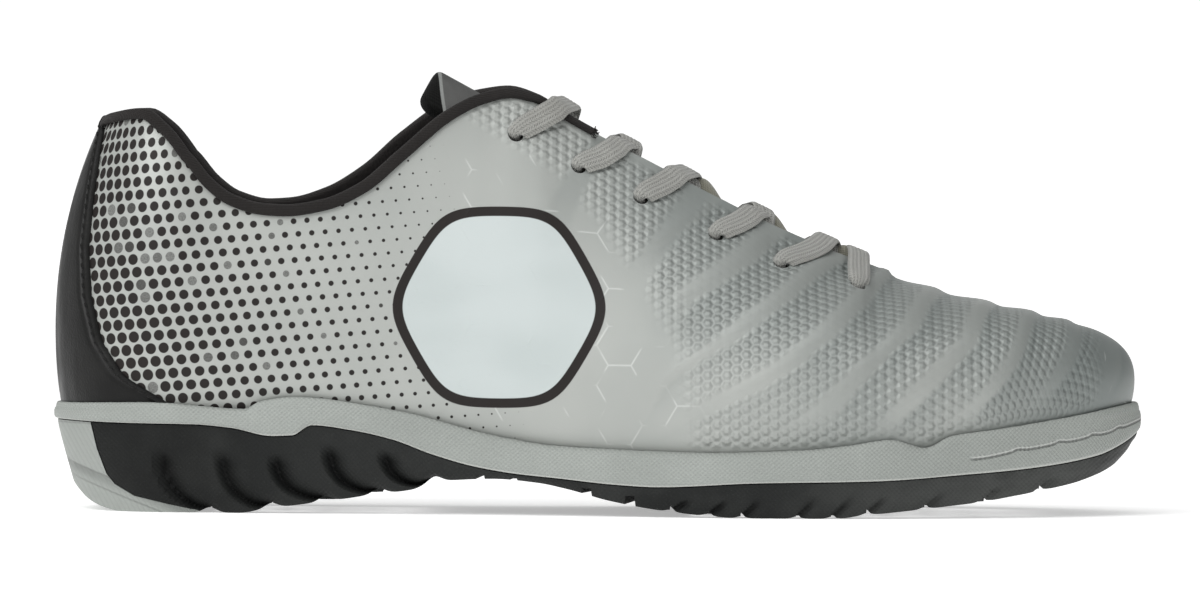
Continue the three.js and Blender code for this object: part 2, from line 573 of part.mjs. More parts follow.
// A closed solid from rings stacked on each other, each with the same places; the first and last are
// closed by strips across the shoe.
function stack(rings) {
  const n = rings[0].length;
  const points = rings.flat();
  const faces = [];
  for (let k = 0; k + 1 < rings.length; k++) {
    for (let i = 0; i < n; i++) {
      const j = (i + 1) % n;
      const [a, b, c, d] = [k * n + i, k * n + j, (k + 1) * n + j, (k + 1) * n + i];
      faces.push([a, b, c], [a, c, d]);
    }
  }
  const last = (rings.length - 1) * n;
  for (let i = 0; i < n / 2; i++) {
    const [a, b, c, d] = [i, i + 1, (n - i - 1) % n, (n - i) % n];
    faces.push([a, c, b], [a, d, c], [last + a, last + b, last + c], [last + a, last + c, last + d]);
  }
  return solidOf(geometryOf(points, faces.filter(([a, b, c]) => a !== b && b !== c && c !== a)));
}

// The cup's inner face follows the upper with a gap, at level t of its section.
function cupInside(side, place, t) {
  const p = sectionAt(side, place, t);
  return { r: p.r + gap, z: p.z };
}

// Grey sidewall and footbed, one moulding: base, swelling side, lip, inside and floor.
function makeMidsole() {
  const ring = ringOf(SOLE_PLACES);
  const ringAt = (locate) => ring.map(([side, place]) => {
    const { r, z } = locate(side, place, ray(side, place));
    return onRay(ray(side, place), r, z);
  });
  const lipLevel = (side, place) => levelOfLip(side, place);
  const side = (drop, inset) => (s, place, line) => {
    const r = soleRadius(s, place) - inset;
    const x = line.x + r * line.dx;
    return { r, z: mix(seamZ(x), lipZ(x), drop) };
  };
  const lip = (s, place, line) => {
    const inside = cupInside(s, place, lipLevel(s, place));
    const r = Math.min(inside.r + lipThick, soleRadius(s, place) - 0.3);
    return { r, z: lipZ(line.x + r * line.dx) };
  };
  const edge = (s, place) => {
    const inside = cupInside(s, place, lipLevel(s, place));
    return { r: inside.r, z: inside.z - 2 * gap };
  };
  const inner = (s, place) => cupInside(s, place, lipLevel(s, place) * 0.5);
  const foot = (s, place, line) => {
    const inside = cupInside(s, place, 0);
    return { r: inside.r, z: floorZ(line.x + inside.r * line.dx) };
  };
  const rings = [side(0, 0.8), side(0.12, 0.1), side(0.45, 0), side(0.72, 0.5), lip, edge, inner, foot];
  return stack(rings.map(ringAt));
}

// Side grooves of the heel: each starts high and far back, curves down and ends in a notch of the tread.
const HEEL_NOTCHES = [0.147, 0.203, 0.252, 0.301, 0.352]; // shares of the length
const GROOVE_RUN = 0.055; // how far back each groove starts, as a share of the length
const GROOVE_WIDTH = 0.02;
function sideGroove(x, up) {
  const lag = GROOVE_RUN * (1 - (1 - up) ** 2);
  const at = x / length + lag;
  const depth = HEEL_NOTCHES.map((notch) => {
    const d = (at - notch) / GROOVE_WIDTH;
    return d > 1 || d < -0.6 ? 0 : d < 0 ? 1 + d / 0.6 : 1 - d;
  });
  return sideGrooveDepth * Math.max(...depth) * (1 - ease(up, 0.55, 0.85));
}

// Black tread and grey heel clip as one block, before the grooves and the split.
function makeTreadBlock() {
  const ring = ringOf(SOLE_PLACES);
  const ringAt = (up) => ring.map(([side, place]) => {
    const line = ray(side, place);
    const inset = soleHeight * curve(SOLE_TAPER, "inset", place) * (1 - up) ** 1.7;
    const rough = soleRadius(side, place) - 1 - inset;
    const x = line.x + rough * line.dx;
    const r = rough - sideGroove(x, up);
    return onRay(line, r, mix(treadZ(x), seamZ(x) - gap, up));
  });
  return stack([0, 0.2, 0.5, 0.8, 1].map(ringAt));
}

// Grooves across the tread. x: share of the length; width and depth in shares of the lug depth.
const CROSS_GROOVES = [
  { x: 0.147, width: 0.7, depth: 1 }, { x: 0.203, width: 0.7, depth: 1 }, { x: 0.252, width: 0.7, depth: 1 },
  { x: 0.301, width: 0.7, depth: 0.9 }, { x: 0.352, width: 0.9, depth: 0.6 }, { x: 0.392, width: 1.5, depth: 0.35 },
  { x: 0.423, width: 1.2, depth: 0.25 }, { x: 0.49, width: 1.6, depth: 0.6 }, { x: 0.53, width: 1.6, depth: 1 },
  { x: 0.566, width: 0.7, depth: 1 }, { x: 0.63, width: 0.8, depth: 1 }, { x: 0.68, width: 0.8, depth: 1 },
  { x: 0.744, width: 0.8, depth: 1 }, { x: 0.797, width: 0.8, depth: 1 }, { x: 0.85, width: 0.8, depth: 1 },
  { x: 0.903, width: 0.8, depth: 0.9 },
];
const UNDER = -5; // below everything

function crossGroove({ x, width, depth }) {
  const at = x * length;
  const w = (width * lugDepth) / 2;
  const top = Math.min(treadZ(at) + depth * lugDepth, seamZ(at) - gap - PLATE);
  const outline = [[at - w, UNDER], [at + w, UNDER], [at + w * 0.8, top], [at - w * 0.8, top]];
  return crossCutter(outline, -ballBreadth, ballBreadth);
}

// A pocket in the tread between the edge blocks, along a stretch of the length.
const HEEL_POCKET = [0.152, 0.345];
const FRONT_POCKET = [0.585, 0.905];
function pocket([from, to]) {
  const ring = ringOf(SOLE_PLACES);
  const ringAt = (roof) => ring.map(([side, place]) => {
    const line = ray(side, place);
    const r = soleRadius(side, place) - soleHeight * curve(SOLE_TAPER, "inset", place) - blockReach;
    const x = line.x + r * line.dx;
    return onRay(line, r, roof ? Math.min(treadZ(x) + lugDepth, seamZ(x) - gap - PLATE) : UNDER);
  });
  const span = [[from * length, 2 * UNDER], [to * length, 2 * UNDER], [to * length, soleHeight], [from * length, soleHeight]];
  return stack([ringAt(false), ringAt(true)]).intersect(crossCutter(span, -ballBreadth, ballBreadth));
}

// How far a place on the tread lies inside the sole's outline.
function marginAt(x, y) {
  const side = y < centreY(x) ? OUTER : INNER;
  if (x <= toeCentre) return soleRadius(side, placeOfX(x)) - Math.abs(y - centreY(x));
  const angle = Math.atan2(Math.abs(y - toeSwing), x - toeCentre);
  return soleRadius(side, 5 - angle / (Math.PI / 2)) - Math.hypot(y - toeSwing, x - toeCentre);
}

// Six-sided studs in rows that are set off by half a pitch, wherever one fits in a pocket.
function studs([from, to]) {
  const rowStep = studPitch * Math.sin(Math.PI / 3);
  const clear = blockReach + 2 * studRadius;
  const found = [];
  for (let row = 0; (from * length + studRadius * 1.6 + row * rowStep) < to * length - studRadius * 1.3; row++) {
    const x = from * length + studRadius * 1.6 + row * rowStep;
    for (let k = -5; k <= 5; k++) {
      const y = centreY(x) + (k + (row % 2) / 2) * studPitch;
      if (marginAt(x, y) < clear) continue;
      const height = Math.min(lugDepth + PLATE / 2, seamZ(x) - gap - PLATE / 2 - treadZ(x));
      const pin = new THREE.CylinderGeometry(studRadius, studRadius * 0.8, height, 6);
      pin.rotateX(Math.PI / 2).translate(x, y, treadZ(x) + height / 2);
      found.push(solidOf(welded(pin)));
    }
  }
  return found;
}

// The heel clip's front face, from the seam to the ground, in shares of the length and the sole height.
const CLIP_FACE = [[0.036, 0.9], [0.037, 0.78], [0.043, 0.55], [0.052, 0.33], [0.06, 0.24], [0.078, 0.14], [0.11, 0.07], [0.136, 0.02], [0.14, -0.1]];
function clipCutter(shift) {
  const face = CLIP_FACE.map(([x, z]) => [x * length + shift, z * soleHeight]);
  return crossCutter([[-length, -soleHeight], [face[face.length - 1][0], -soleHeight], ...face.reverse(), [-length, soleHeight]], -half * 2, half * 2);
}

function makeTread() {
  const block = makeTreadBlock();
  const pockets = [HEEL_POCKET, FRONT_POCKET];
  const cut = [...CROSS_GROOVES.map(crossGroove), ...pockets.map(pocket)].reduce((solid, tool) => solid.subtract(tool), block);
  const studded = pockets.flatMap(studs).reduce((solid, stud) => solid.add(stud), cut);
  return {
    outsole: geometryFrom(studded.subtract(clipCutter(gap))),
    heelClip: geometryFrom(block.intersect(clipCutter(0))),
  };
}

// Insole: lies on the floor inside the upper's bottom edge.
function makeInsole() {
  const ring = ringOf(SOLE_PLACES);
  const ringAt = (level, inset) => ring.map(([side, place]) => {
    const line = ray(side, place);
    const r = sectionAt(side, place, 0).r - wall - 3 * gap - inset;
    return onRay(line, r, floorZ(line.x + r * line.dx) + gap + level);
  });
  return geometryFrom(stack([ringAt(0, 0), ringAt(insoleThick * 0.6, 0), ringAt(insoleThick, 1.5)]));
}

// Tongue: an arch under the eyestays from the throat's front, tilted and free above the top corners.
// at: share of the body; turn: how far the arch reaches down each side, in degrees about a line inside
// the shoe; deep: how much of the laces' room lies above it; wide: how much wider it spreads.
const TONGUE = [
  { at: 0.312, turn: 50, deep: 1, wide: 1.08 }, { at: 0.325, turn: 64, deep: 1, wide: 1.08 }, { at: 0.35, turn: 69, deep: 1, wide: 1.06 },
  { at: 0.39, turn: 70, deep: 1, wide: 1.03 }, { at: 0.44, turn: 72, deep: 1, wide: 1 }, { at: 0.6, turn: 66, deep: 1, wide: 1 },
  { at: 0.74, turn: 60, deep: 1, wide: 1 }, { at: 0.8, turn: 54, deep: 1, wide: 1 }, { at: 0.845, turn: 45, deep: 0.75, wide: 1 },
  { at: 0.875, turn: 36, deep: 0.45, wide: 1 }, { at: 0.895, turn: 26, deep: 0.35, wide: 1 },
];
const TONGUE_STEPS = [0.312, 0.318, 0.33, 0.35, 0.38, 0.41, 0.44, 0.5, 0.56, 0.62, 0.68, 0.74, 0.79, 0.83, 0.86, 0.88, 0.895];
const TONGUE_FREE = 0.44; // share of the body where it leaves the eyestays
const tongueRise = 0.5; // slope of its free end
const endPad = 0.4; // how much thicker its padded end is
const archDrop = 22; // from the throat's edges to the line that the arch turns about

// Distance from that line to the shoe's skin, or to the plane between the throat's edges.
function roofFrom(side, place, angle) {
  const edge = topEdge(side, place);
  const direction = [Math.sin(angle), Math.cos(angle)];
  if (Math.atan2(edge.r, archDrop) >= angle) return archDrop / direction[1];
  let t = 1;
  while (t > WIDEST) {
    const p = sectionAt(side, place, t);
    if (Math.atan2(p.r, p.z - edge.z + archDrop) >= angle) return Math.hypot(p.r, p.z - edge.z + archDrop);
    t -= 0.01;
  }
  return archDrop;
}

function tonguePoint(bodyShare, q) {
  const own = Math.max(bodyShare, TONGUE_FREE);
  const place = atBody(own);
  const side = q < 0 ? OUTER : INNER;
  const turn = (curve(TONGUE, "turn", bodyShare, true) * Math.PI) / 180;
  const binding = (bindingThick + 2 * gap) * (1 - ease(own, 0.55, 0.62));
  const deep = wall + gap + binding + laceRoom * curve(TONGUE, "deep", own, true);
  const low = Math.min(roofFrom(OUTER, place, turn), roofFrom(INNER, place, turn)) - deep;
  const high = archDrop - deep;
  const angle = Math.abs(q) * turn;
  const reach = mix(high, low, (1 - Math.cos(angle)) / (1 - Math.cos(turn)));
  const y = side * reach * Math.sin(angle) * curve(TONGUE, "wide", bodyShare, true);
  const drop = high - reach * Math.cos(angle);
  const beyond = (own - bodyShare) * bodyLength;
  const tilt = Math.atan(tongueRise) * ease(beyond, -0.01, 0.08 * bodyLength);
  const topZ = Math.min(topEdge(OUTER, place).z, topEdge(INNER, place).z) - archDrop + high;
  const x = xOfPlace(place);
  return new THREE.Vector3(
    x - beyond - drop * Math.sin(tilt), centreY(x) + y, topZ + beyond * tongueRise - drop * Math.cos(tilt),
  );
}

function makeTongue() {
  const rows = 11;
  const points = TONGUE_STEPS.flatMap((b) =>
    Array.from({ length: rows }, (_, j) => tonguePoint(b, (2 * j) / (rows - 1) - 1)),
  );
  const thickness = TONGUE_STEPS.flatMap((b) => Array(rows).fill(tongueThick * (1 + endPad * (1 - ease(b, 0.33, 0.42))) * (1 - 0.6 * ease(b, 0.7, 0.87))));
  return thicken(points, gridFaces(TONGUE_STEPS.length, rows), thickness);
}

// One strand of the lace: from an eyelet over its own eyestay, across the throat and under the other one.
// Its steps fall on both edges of the throat, where it stands off further to clear their corners.
const STRAND = [
  { leg: 0, part: 0 }, { leg: 0, part: 0.5 }, { leg: 0, part: 0.8 }, { leg: 1, part: 0 }, { leg: 1, part: 0.15 },
  { leg: 1, part: 0.35 }, { leg: 1, part: 0.5 }, { leg: 1, part: 0.65 }, { leg: 1, part: 0.85 }, { leg: 2, part: 0 },
  { leg: 2, part: 0.4 }, { leg: 2, part: 1 },
];
const UNDER_RUN = 4.5; // length that goes on under the far eyestay
const CORNER = 1.3; // how much further it stands off at a corner

// Room that the binding takes beside a strand near the top corners.
const bindingRoom = (x) => {
  const end = xOfPlace(BINDING_END) + laceWidth / 2;
  return (bindingThick + 3 * gap + rimWall - wall) * (1 - ease(x, end, end + laceWidth / 2));
};

function strand(side, from, to) {
  const start = eyeletAcross(side, from);
  const whole = eyeletAcross(-side, to);
  const xAt = (across) => mix(from, to, (across - start) / (whole - start));
  const edgeAt = (s, x) => s * topEdge(s, placeOfX(x)).r;
  const near = edgeAt(side, xAt(edgeAt(side, from)));
  const far = edgeAt(-side, xAt(edgeAt(-side, to)));
  const legs = [[start, near], [near, far], [far, far - side * UNDER_RUN]];
  const half = (laceWidth / 2) * Math.hypot(1, (to - from) / (whole - start));
  const turned = side === OUTER ? 1 : -1;
  const points = [];
  for (const { leg, part } of STRAND) {
    const across = mix(legs[leg][0], legs[leg][1], part);
    const x = xAt(across);
    const under = leg === 1 ? ease(part, 0.15, 0.8) : leg / 2; // 0 over the near eyestay, 1 under the far one
    const corner = leg > 0 && part === 0 ? CORNER : 1;
    const over = (gap + facetSag + bindingRoom(x)) * corner + laceThick;
    const below = -(wall + 2 * gap + bindingRoom(x)) * corner;
    for (const d of [half, -half]) points.push(overInstep(x + d * turned, across, mix(over, below, under)));
  }
  return solidOf(thicken(points, gridFaces(STRAND.length, 2), points.map(() => laceThick)));
}

function makeCrossing(i) {
  const [from, to] = [EYELETS[i], EYELETS[i + 1]];
  return geometryFrom(strand(OUTER, from, to).add(strand(INNER, from, to)));
}

// The bar at the throat's front, from eyelet to eyelet over the skin.
const BAR_STEPS = 13;
function makeBar() {
  const x = EYELETS[EYELETS.length - 1];
  const [a, b] = [eyeletAcross(OUTER, x), eyeletAcross(INNER, x)];
  const points = Array.from({ length: BAR_STEPS }, (_, i) => mix(a, b, i / (BAR_STEPS - 1))).flatMap((across) =>
    [laceWidth / 2, -laceWidth / 2].map((d) => overInstep(x + d, across, gap + facetSag + laceThick)),
  );
  return thicken(points, gridFaces(BAR_STEPS, 2), points.map(() => laceThick));
}

// Materials
const finish = (color, roughness, metalness = 0) => new THREE.MeshStandardMaterial({ color, roughness, metalness });
const silverSkin = finish(0xb4b8b6, 0.38, 0.35);
const blackLeather = finish(0x1d1c1c, 0.42);
const blackTape = finish(0x252322, 0.7);
const greyRubber = finish(0xa9ada9, 0.75);
const blackRubber = finish(0x262827, 0.8);
const insoleCloth = finish(0x2a2a2a, 0.95);
const tongueCloth = finish(0x6d6c66, 0.85);
const laceCord = finish(0x9fa19e, 0.9);

const shoe = new THREE.Group();
function add(name, geometry, material) {
  const mesh = new THREE.Mesh(geometry, material);
  mesh.name = name;
  shoe.add(mesh);
}

const tread = makeTread();
add("outsole", tread.outsole, blackRubber);
add("heel_clip", tread.heelClip, greyRubber);
add("midsole", geometryFrom(makeMidsole()), greyRubber);
add("insole", makeInsole(), insoleCloth);
add("upper", makeUpper(), silverSkin);
add("heel_counter", makeCounter(), blackLeather);
add("collar_binding", makeBinding(), blackTape);
add("tongue", makeTongue(), tongueCloth);
for (let i = 0; i + 1 < EYELETS.length; i++) add("lace_crossing_" + (i + 1), makeCrossing(i), laceCord);
add("lace_bar", makeBar(), laceCord);

// The part's origin is the middle of its footprint, on the ground.
const footprint = new THREE.Box3().setFromObject(shoe);
const middle = footprint.getCenter(new THREE.Vector3());
shoe.position.set(-middle.x, -middle.y, -footprint.min.z);

export default shoe;
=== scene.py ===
"""Looks of a turf soccer shoe for the right foot: silver moulded skin, black heel leather and grey rubber cup.

The shoe is built in its own millimetres (+X to the toe, +Y to the inner side, +Z up) from the same half
sections as the solids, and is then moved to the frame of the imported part, in metres.
"""
import math

import bmesh
import bpy
import numpy as np
from mathutils import Euler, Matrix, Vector


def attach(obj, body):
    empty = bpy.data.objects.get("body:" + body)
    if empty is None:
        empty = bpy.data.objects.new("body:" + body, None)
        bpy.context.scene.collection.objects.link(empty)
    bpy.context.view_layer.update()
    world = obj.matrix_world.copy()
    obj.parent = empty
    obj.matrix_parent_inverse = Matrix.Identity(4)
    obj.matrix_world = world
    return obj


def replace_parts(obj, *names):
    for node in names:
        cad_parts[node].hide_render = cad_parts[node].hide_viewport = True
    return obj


bl_info = {
    "name": "Turf Soccer Shoe",
    "version": (1, 0, 0),
    "blender": (4, 5, 0),
    "location": "View3D > Sidebar > Turf Shoe",
    "description": "Builds the skin, linings, laces and rubber of a laced turf soccer shoe round its packed part",
    "category": "Add Mesh",
}

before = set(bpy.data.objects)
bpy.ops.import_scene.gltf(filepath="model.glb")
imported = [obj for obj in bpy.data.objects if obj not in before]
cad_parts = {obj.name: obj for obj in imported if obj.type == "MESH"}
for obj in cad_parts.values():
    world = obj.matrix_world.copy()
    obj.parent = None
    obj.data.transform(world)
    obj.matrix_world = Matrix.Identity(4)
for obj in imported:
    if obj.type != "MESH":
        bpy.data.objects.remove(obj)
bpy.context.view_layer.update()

OUTER = -1  # the side of the little toe, at -Y
INNER = 1
MM = 0.001
ORIGIN = np.array((145.217, 1.28, 0.0))  # the middle of the footprint, in the shoe's own millimetres

# Sizes of the part, in millimetres
LENGTH = 290.0
HALF = 51.0
HEEL_CENTRE = 36.0
TOE_CENTRE = 245.0
BODY = TOE_CENTRE - HEEL_CENTRE
TOE_SWING = 6.0
HEEL_HEIGHT = 107.0
INSTEP_HEIGHT = 113.0
SOLE_HEIGHT = 30.0
WALL = 1.8
RIM_WALL = 2.4
COLLAR_PAD = 3.0
GAP = 0.3
BINDING_THICK = 0.9
BINDING_WIDTH = 2.7
LIP_THICK = 1.4
EYELET_RADIUS = 2.1
EYELET_SET = 14.0
LACE_WIDTH = 6.8
LUG_DEPTH = 2.8
BLOCK_REACH = 11.0
STUD_RADIUS = 4.2
STUD_PITCH = 13.0
WIDEST = 0.25


def at_heel(degrees):
    return degrees / 90


def at_body(share):
    return 1 + 3 * share


def at_toe(degrees):
    return 5 - degrees / 90


def table(names, *rows):
    """The columns of a table, by name."""
    return {name: np.array(column, float) for name, column in zip(names.split(), zip(*rows))}


FORM = table(
    "at out_outer out_inner sole_outer sole_inner wide tuck full",
    (at_heel(0), 0.68, 0.68, 0.706, 0.706, 0.43, 0.039, 0.35),
    (at_heel(30), 0.68, 0.68, 0.706, 0.706, 0.425, 0.039, 0.35),
    (at_heel(60), 0.675, 0.675, 0.702, 0.702, 0.415, 0.041, 0.36),
    (at_body(0), 0.665, 0.665, 0.7, 0.698, 0.4, 0.045, 0.37),
    (at_body(0.115), 0.675, 0.66, 0.725, 0.69, 0.365, 0.05, 0.38),
    (at_body(0.234), 0.685, 0.62, 0.735, 0.63, 0.33, 0.06, 0.36),
    (at_body(0.354), 0.705, 0.58, 0.755, 0.565, 0.295, 0.069, 0.35),
    (at_body(0.474), 0.775, 0.6, 0.84, 0.575, 0.27, 0.075, 0.35),
    (at_body(0.593), 0.89, 0.68, 0.965, 0.69, 0.25, 0.078, 0.37),
    (at_body(0.713), 0.99, 0.795, 1.065, 0.835, 0.245, 0.078, 0.42),
    (at_body(0.833), 1.005, 0.87, 1.07, 0.925, 0.25, 0.078, 0.5),
    (at_body(0.928), 0.935, 0.87, 0.99, 0.92, 0.262, 0.078, 0.58),
    (at_body(1), 0.84, 0.825, 0.888, 0.868, 0.278, 0.078, 0.62),
    (at_toe(60), 0.75, 0.757, 0.79, 0.797, 0.298, 0.078, 0.65),
    (at_toe(30), 0.787, 0.797, 0.823, 0.832, 0.312, 0.078, 0.65),
    (at_toe(0), 0.849, 0.849, 0.882, 0.882, 0.318, 0.075, 0.62),
)
THROAT_FRONT = 0.871
TOPLINE = table(
    "at z_outer z_inner r lean",
    (at_heel(0), 0.966, 0.966, 0.441, 25),
    (at_heel(30), 0.977, 0.977, 0.447, 25),
    (at_heel(60), 0.988, 0.988, 0.463, 24),
    (at_heel(76), 0.95, 0.954, 0.482, 22),
    (at_body(0), 0.882, 0.886, 0.506, 20),
    (at_body(0.029), 0.817, 0.82, 0.529, 17),
    (at_body(0.057), 0.777, 0.781, 0.549, 14),
    (at_body(0.096), 0.755, 0.762, 0.565, 11),
    (at_body(0.124), 0.752, 0.765, 0.569, 10),
    (at_body(0.172), 0.766, 0.793, 0.565, 11),
    (at_body(0.22), 0.808, 0.85, 0.539, 13),
    (at_body(0.268), 0.888, 0.933, 0.48, 15),
    (at_body(0.33), 0.99, 1.017, 0.385, 19),
    (at_body(0.371), 1.03, 1.042, 0.32, 24),
    (at_body(0.404), 1.044, 1.05, 0.272, 29),
    (at_body(0.44), 1.029, 1.03, 0.248, 33),
    (at_body(0.474), 0.987, 0.987, 0.236, 36),
    (at_body(0.512), 0.945, 0.945, 0.229, 38),
    (at_body(0.593), 0.864, 0.864, 0.22, 43),
    (at_body(0.665), 0.791, 0.791, 0.212, 48),
    (at_body(0.737), 0.722, 0.722, 0.2, 55),
    (at_body(0.799), 0.669, 0.669, 0.175, 62),
    (at_body(0.837), 0.64, 0.64, 0.135, 67),
    (at_body(0.861), 0.623, 0.623, 0.07, 71),
    (at_body(THROAT_FRONT), 0.617, 0.617, 0, 73),
    (at_body(0.928), 0.572, 0.572, 0, 83),
    (at_body(1), 0.536, 0.536, 0, 90),
)
LIP = table(
    "at z", (0, 0.947), (0.09, 0.968), (0.178, 0.917), (0.193, 0.985), (0.224, 1.025), (0.317, 0.91), (0.409, 0.692),
    (0.464, 0.612), (0.52, 0.587), (0.593, 0.567), (0.685, 0.597), (0.726, 0.638), (0.766, 0.69), (0.797, 0.622),
    (0.821, 0.723), (0.869, 0.79), (0.942, 0.905), (0.975, 0.968), (1, 1.01),
)
SEAM = table(
    "at z", (0, 0.8), (0.055, 0.787), (0.13, 0.78), (0.167, 0.75), (0.203, 0.683), (0.222, 0.69), (0.24, 0.78),
    (0.277, 0.737), (0.313, 0.66), (0.35, 0.53), (0.387, 0.43), (0.424, 0.37), (0.461, 0.335), (0.516, 0.283),
    (0.552, 0.267), (0.645, 0.31), (0.755, 0.333), (0.828, 0.383), (0.903, 0.45), (0.957, 0.543), (0.983, 0.65),
    (1, 0.76),
)
FLOOR = table(
    "at z", (0, 0.88), (0.172, 0.875), (0.25, 0.86), (0.31, 0.765), (0.38, 0.6), (0.448, 0.475), (0.517, 0.405),
    (0.586, 0.385), (0.7, 0.4), (0.793, 0.445), (0.862, 0.525), (0.914, 0.61), (0.966, 0.735), (1, 0.84),
)
TREAD = table(
    "at z", (0, 0.5), (0.012, 0.33), (0.024, 0.19), (0.036, 0.09), (0.05, 0.03), (0.066, 0), (0.172, 0),
    (0.195, 0.03), (0.221, 0.067), (0.259, 0.115), (0.295, 0.17), (0.33, 0.215), (0.354, 0.29), (0.407, 0.318),
    (0.445, 0.288), (0.472, 0.237), (0.51, 0.14), (0.552, 0.067), (0.593, 0.023), (0.631, 0), (0.714, 0),
    (0.741, 0.03), (0.772, 0.058), (0.81, 0.098), (0.847, 0.14), (0.883, 0.2), (0.921, 0.268), (0.957, 0.362),
    (0.976, 0.455), (1, 0.62),
)
SOLE_TAPER = table(
    "at inset", (at_heel(0), 0.14), (at_heel(45), 0.133), (at_body(0), 0.12), (at_body(0.3), 0.1),
    (at_body(0.6), 0.08), (at_body(0.9), 0.087), (at_toe(45), 0.133), (at_toe(0), 0.183),
)
EYELETS = table(
    "at set", (0.415, 0.91), (0.495, 0.97), (0.574, 1), (0.67, 1.06), (0.753, 1.15), (0.85, 1.27),
)
EYELET_X = HEEL_CENTRE + EYELETS["at"] * BODY
PLATE = 1.1

# Valleys pressed into the forefoot, each from the lace area down to the sole, as x and z in millimetres
VALLEYS = (
    ((177.9, 82), (172, 77.5), (162.7, 71.3)),
    ((196, 74), (188, 66.8), (179.2, 60.7), (172, 56.7), (169.3, 53.5)),
    ((205.3, 63.9), (197.9, 58), (190.7, 52.1), (182.7, 46), (173.3, 41.2), (164, 35.3), (157.3, 30.8)),
    ((221.3, 60.7), (216.8, 55.3), (209.3, 48.1), (200, 40.1), (189.3, 33.2), (181.3, 29.5), (172, 25.2)),
    ((234.7, 56.7), (230.7, 50), (225.3, 44.7), (220, 39.3), (214.7, 34), (210.7, 28.7)),
    ((248.5, 51.9), (246.1, 46), (240, 39.3), (234.7, 34), (229.3, 28.7), (225.3, 24.7)),
    ((260.8, 50), (259.2, 44.7), (256, 39.3), (252, 34), (248, 30)),
    ((274.1, 47.3), (273.3, 42), (270.7, 38), (267.5, 33.2)),
    ((284.5, 43.3), (284, 36.7), (281.5, 32)),
)


def share(value, low, high):
    return np.clip((np.asarray(value, float) - low) / (high - low), 0, 1)


def ease(value, low, high):
    t = share(value, low, high)
    return t * t * (3 - 2 * t)


def fade(value, low, high):
    return 1 - ease(value, low, high)


def mix(a, b, t):
    return a + (b - a) * t


def curve(rows, key, at, sharp=False):
    """A smooth curve through one column. A sharp one never swings past its rows. Both start level."""
    x, y = rows["at"], rows[key]
    at = np.clip(np.asarray(at, float), x[0], x[-1])
    rise = np.diff(y) / np.diff(x)
    slope = np.zeros(len(x))
    before, after = rise[:-1], rise[1:]
    if sharp:
        total = before + after
        turning = (before * after <= 0) | (total == 0)
        slope[1:-1] = np.where(turning, 0, 2 * before * after / np.where(turning, 1, total))
        slope[-1] = rise[-1]
    else:
        wb, wa = np.diff(x)[:-1], np.diff(x)[1:]
        slope[1:-1] = (before * wa + after * wb) / (wb + wa)
    i = np.clip(np.searchsorted(x, at, side="right") - 1, 0, len(x) - 2)
    span = x[i + 1] - x[i]
    t = (at - x[i]) / span
    a, b, ma, mb = y[i], y[i + 1], slope[i] * span, slope[i + 1] * span
    return a + t * (ma + t * (3 * (b - a) - 2 * ma - mb + t * (2 * (a - b) + ma + mb)))


def lip_z(x):
    return SOLE_HEIGHT * curve(LIP, "z", x / LENGTH, True)


def seam_z(x):
    return SOLE_HEIGHT * curve(SEAM, "z", x / LENGTH, True)


def floor_z(x):
    return SOLE_HEIGHT * curve(FLOOR, "z", x / LENGTH)


def tread_z(x):
    return np.minimum(SOLE_HEIGHT * curve(TREAD, "z", x / LENGTH, True), seam_z(x) - PLATE)


def centre_y(x):
    return TOE_SWING * ease(x, HEEL_CENTRE + 0.26 * BODY, TOE_CENTRE)


def place_of(x):
    return at_body((x - HEEL_CENTRE) / BODY)


def x_of(place):
    return HEEL_CENTRE + BODY * (place - 1) / 3


def by_side(rows, key, side, place, sharp=False):
    return np.where(side < 0, curve(rows, key + "_outer", place, sharp), curve(rows, key + "_inner", place, sharp))


def ray(side, place):
    """Start and direction, in plan, of the half section at a place."""
    heel, toe = place < 1, place > 4
    a = np.where(toe, 5 - place, place) * math.pi / 2
    x = np.where(heel, HEEL_CENTRE, np.where(toe, TOE_CENTRE, x_of(place)))
    y = np.where(heel, 0, np.where(toe, TOE_SWING, centre_y(x)))
    dx = np.where(heel, -np.cos(a), np.where(toe, np.cos(a), 0))
    dy = side * np.where(heel | toe, np.sin(a), 1)
    return x, y, dx, dy


def on_ray(side, place, r, z):
    x, y, dx, dy = ray(side, place)
    return np.stack(np.broadcast_arrays(x + r * dx, y + r * dy, z), -1)


def top_edge(side, place):
    """Distance from the centreline, height and lean of the upper's edge."""
    unit = mix(HEEL_HEIGHT, 0.947 * INSTEP_HEIGHT, share(place, at_body(0.1), at_body(0.33)))
    z = unit * by_side(TOPLINE, "z", side, place, True)
    fall = np.arctan(0.22 * np.cos((5 - place) * math.pi / 2))
    lean = np.where(place >= 4, math.pi / 2 - fall, np.radians(curve(TOPLINE, "lean", place, True)))
    r = np.where(place >= at_body(THROAT_FRONT), 0, HALF * curve(TOPLINE, "r", place, True))
    return r, z, lean


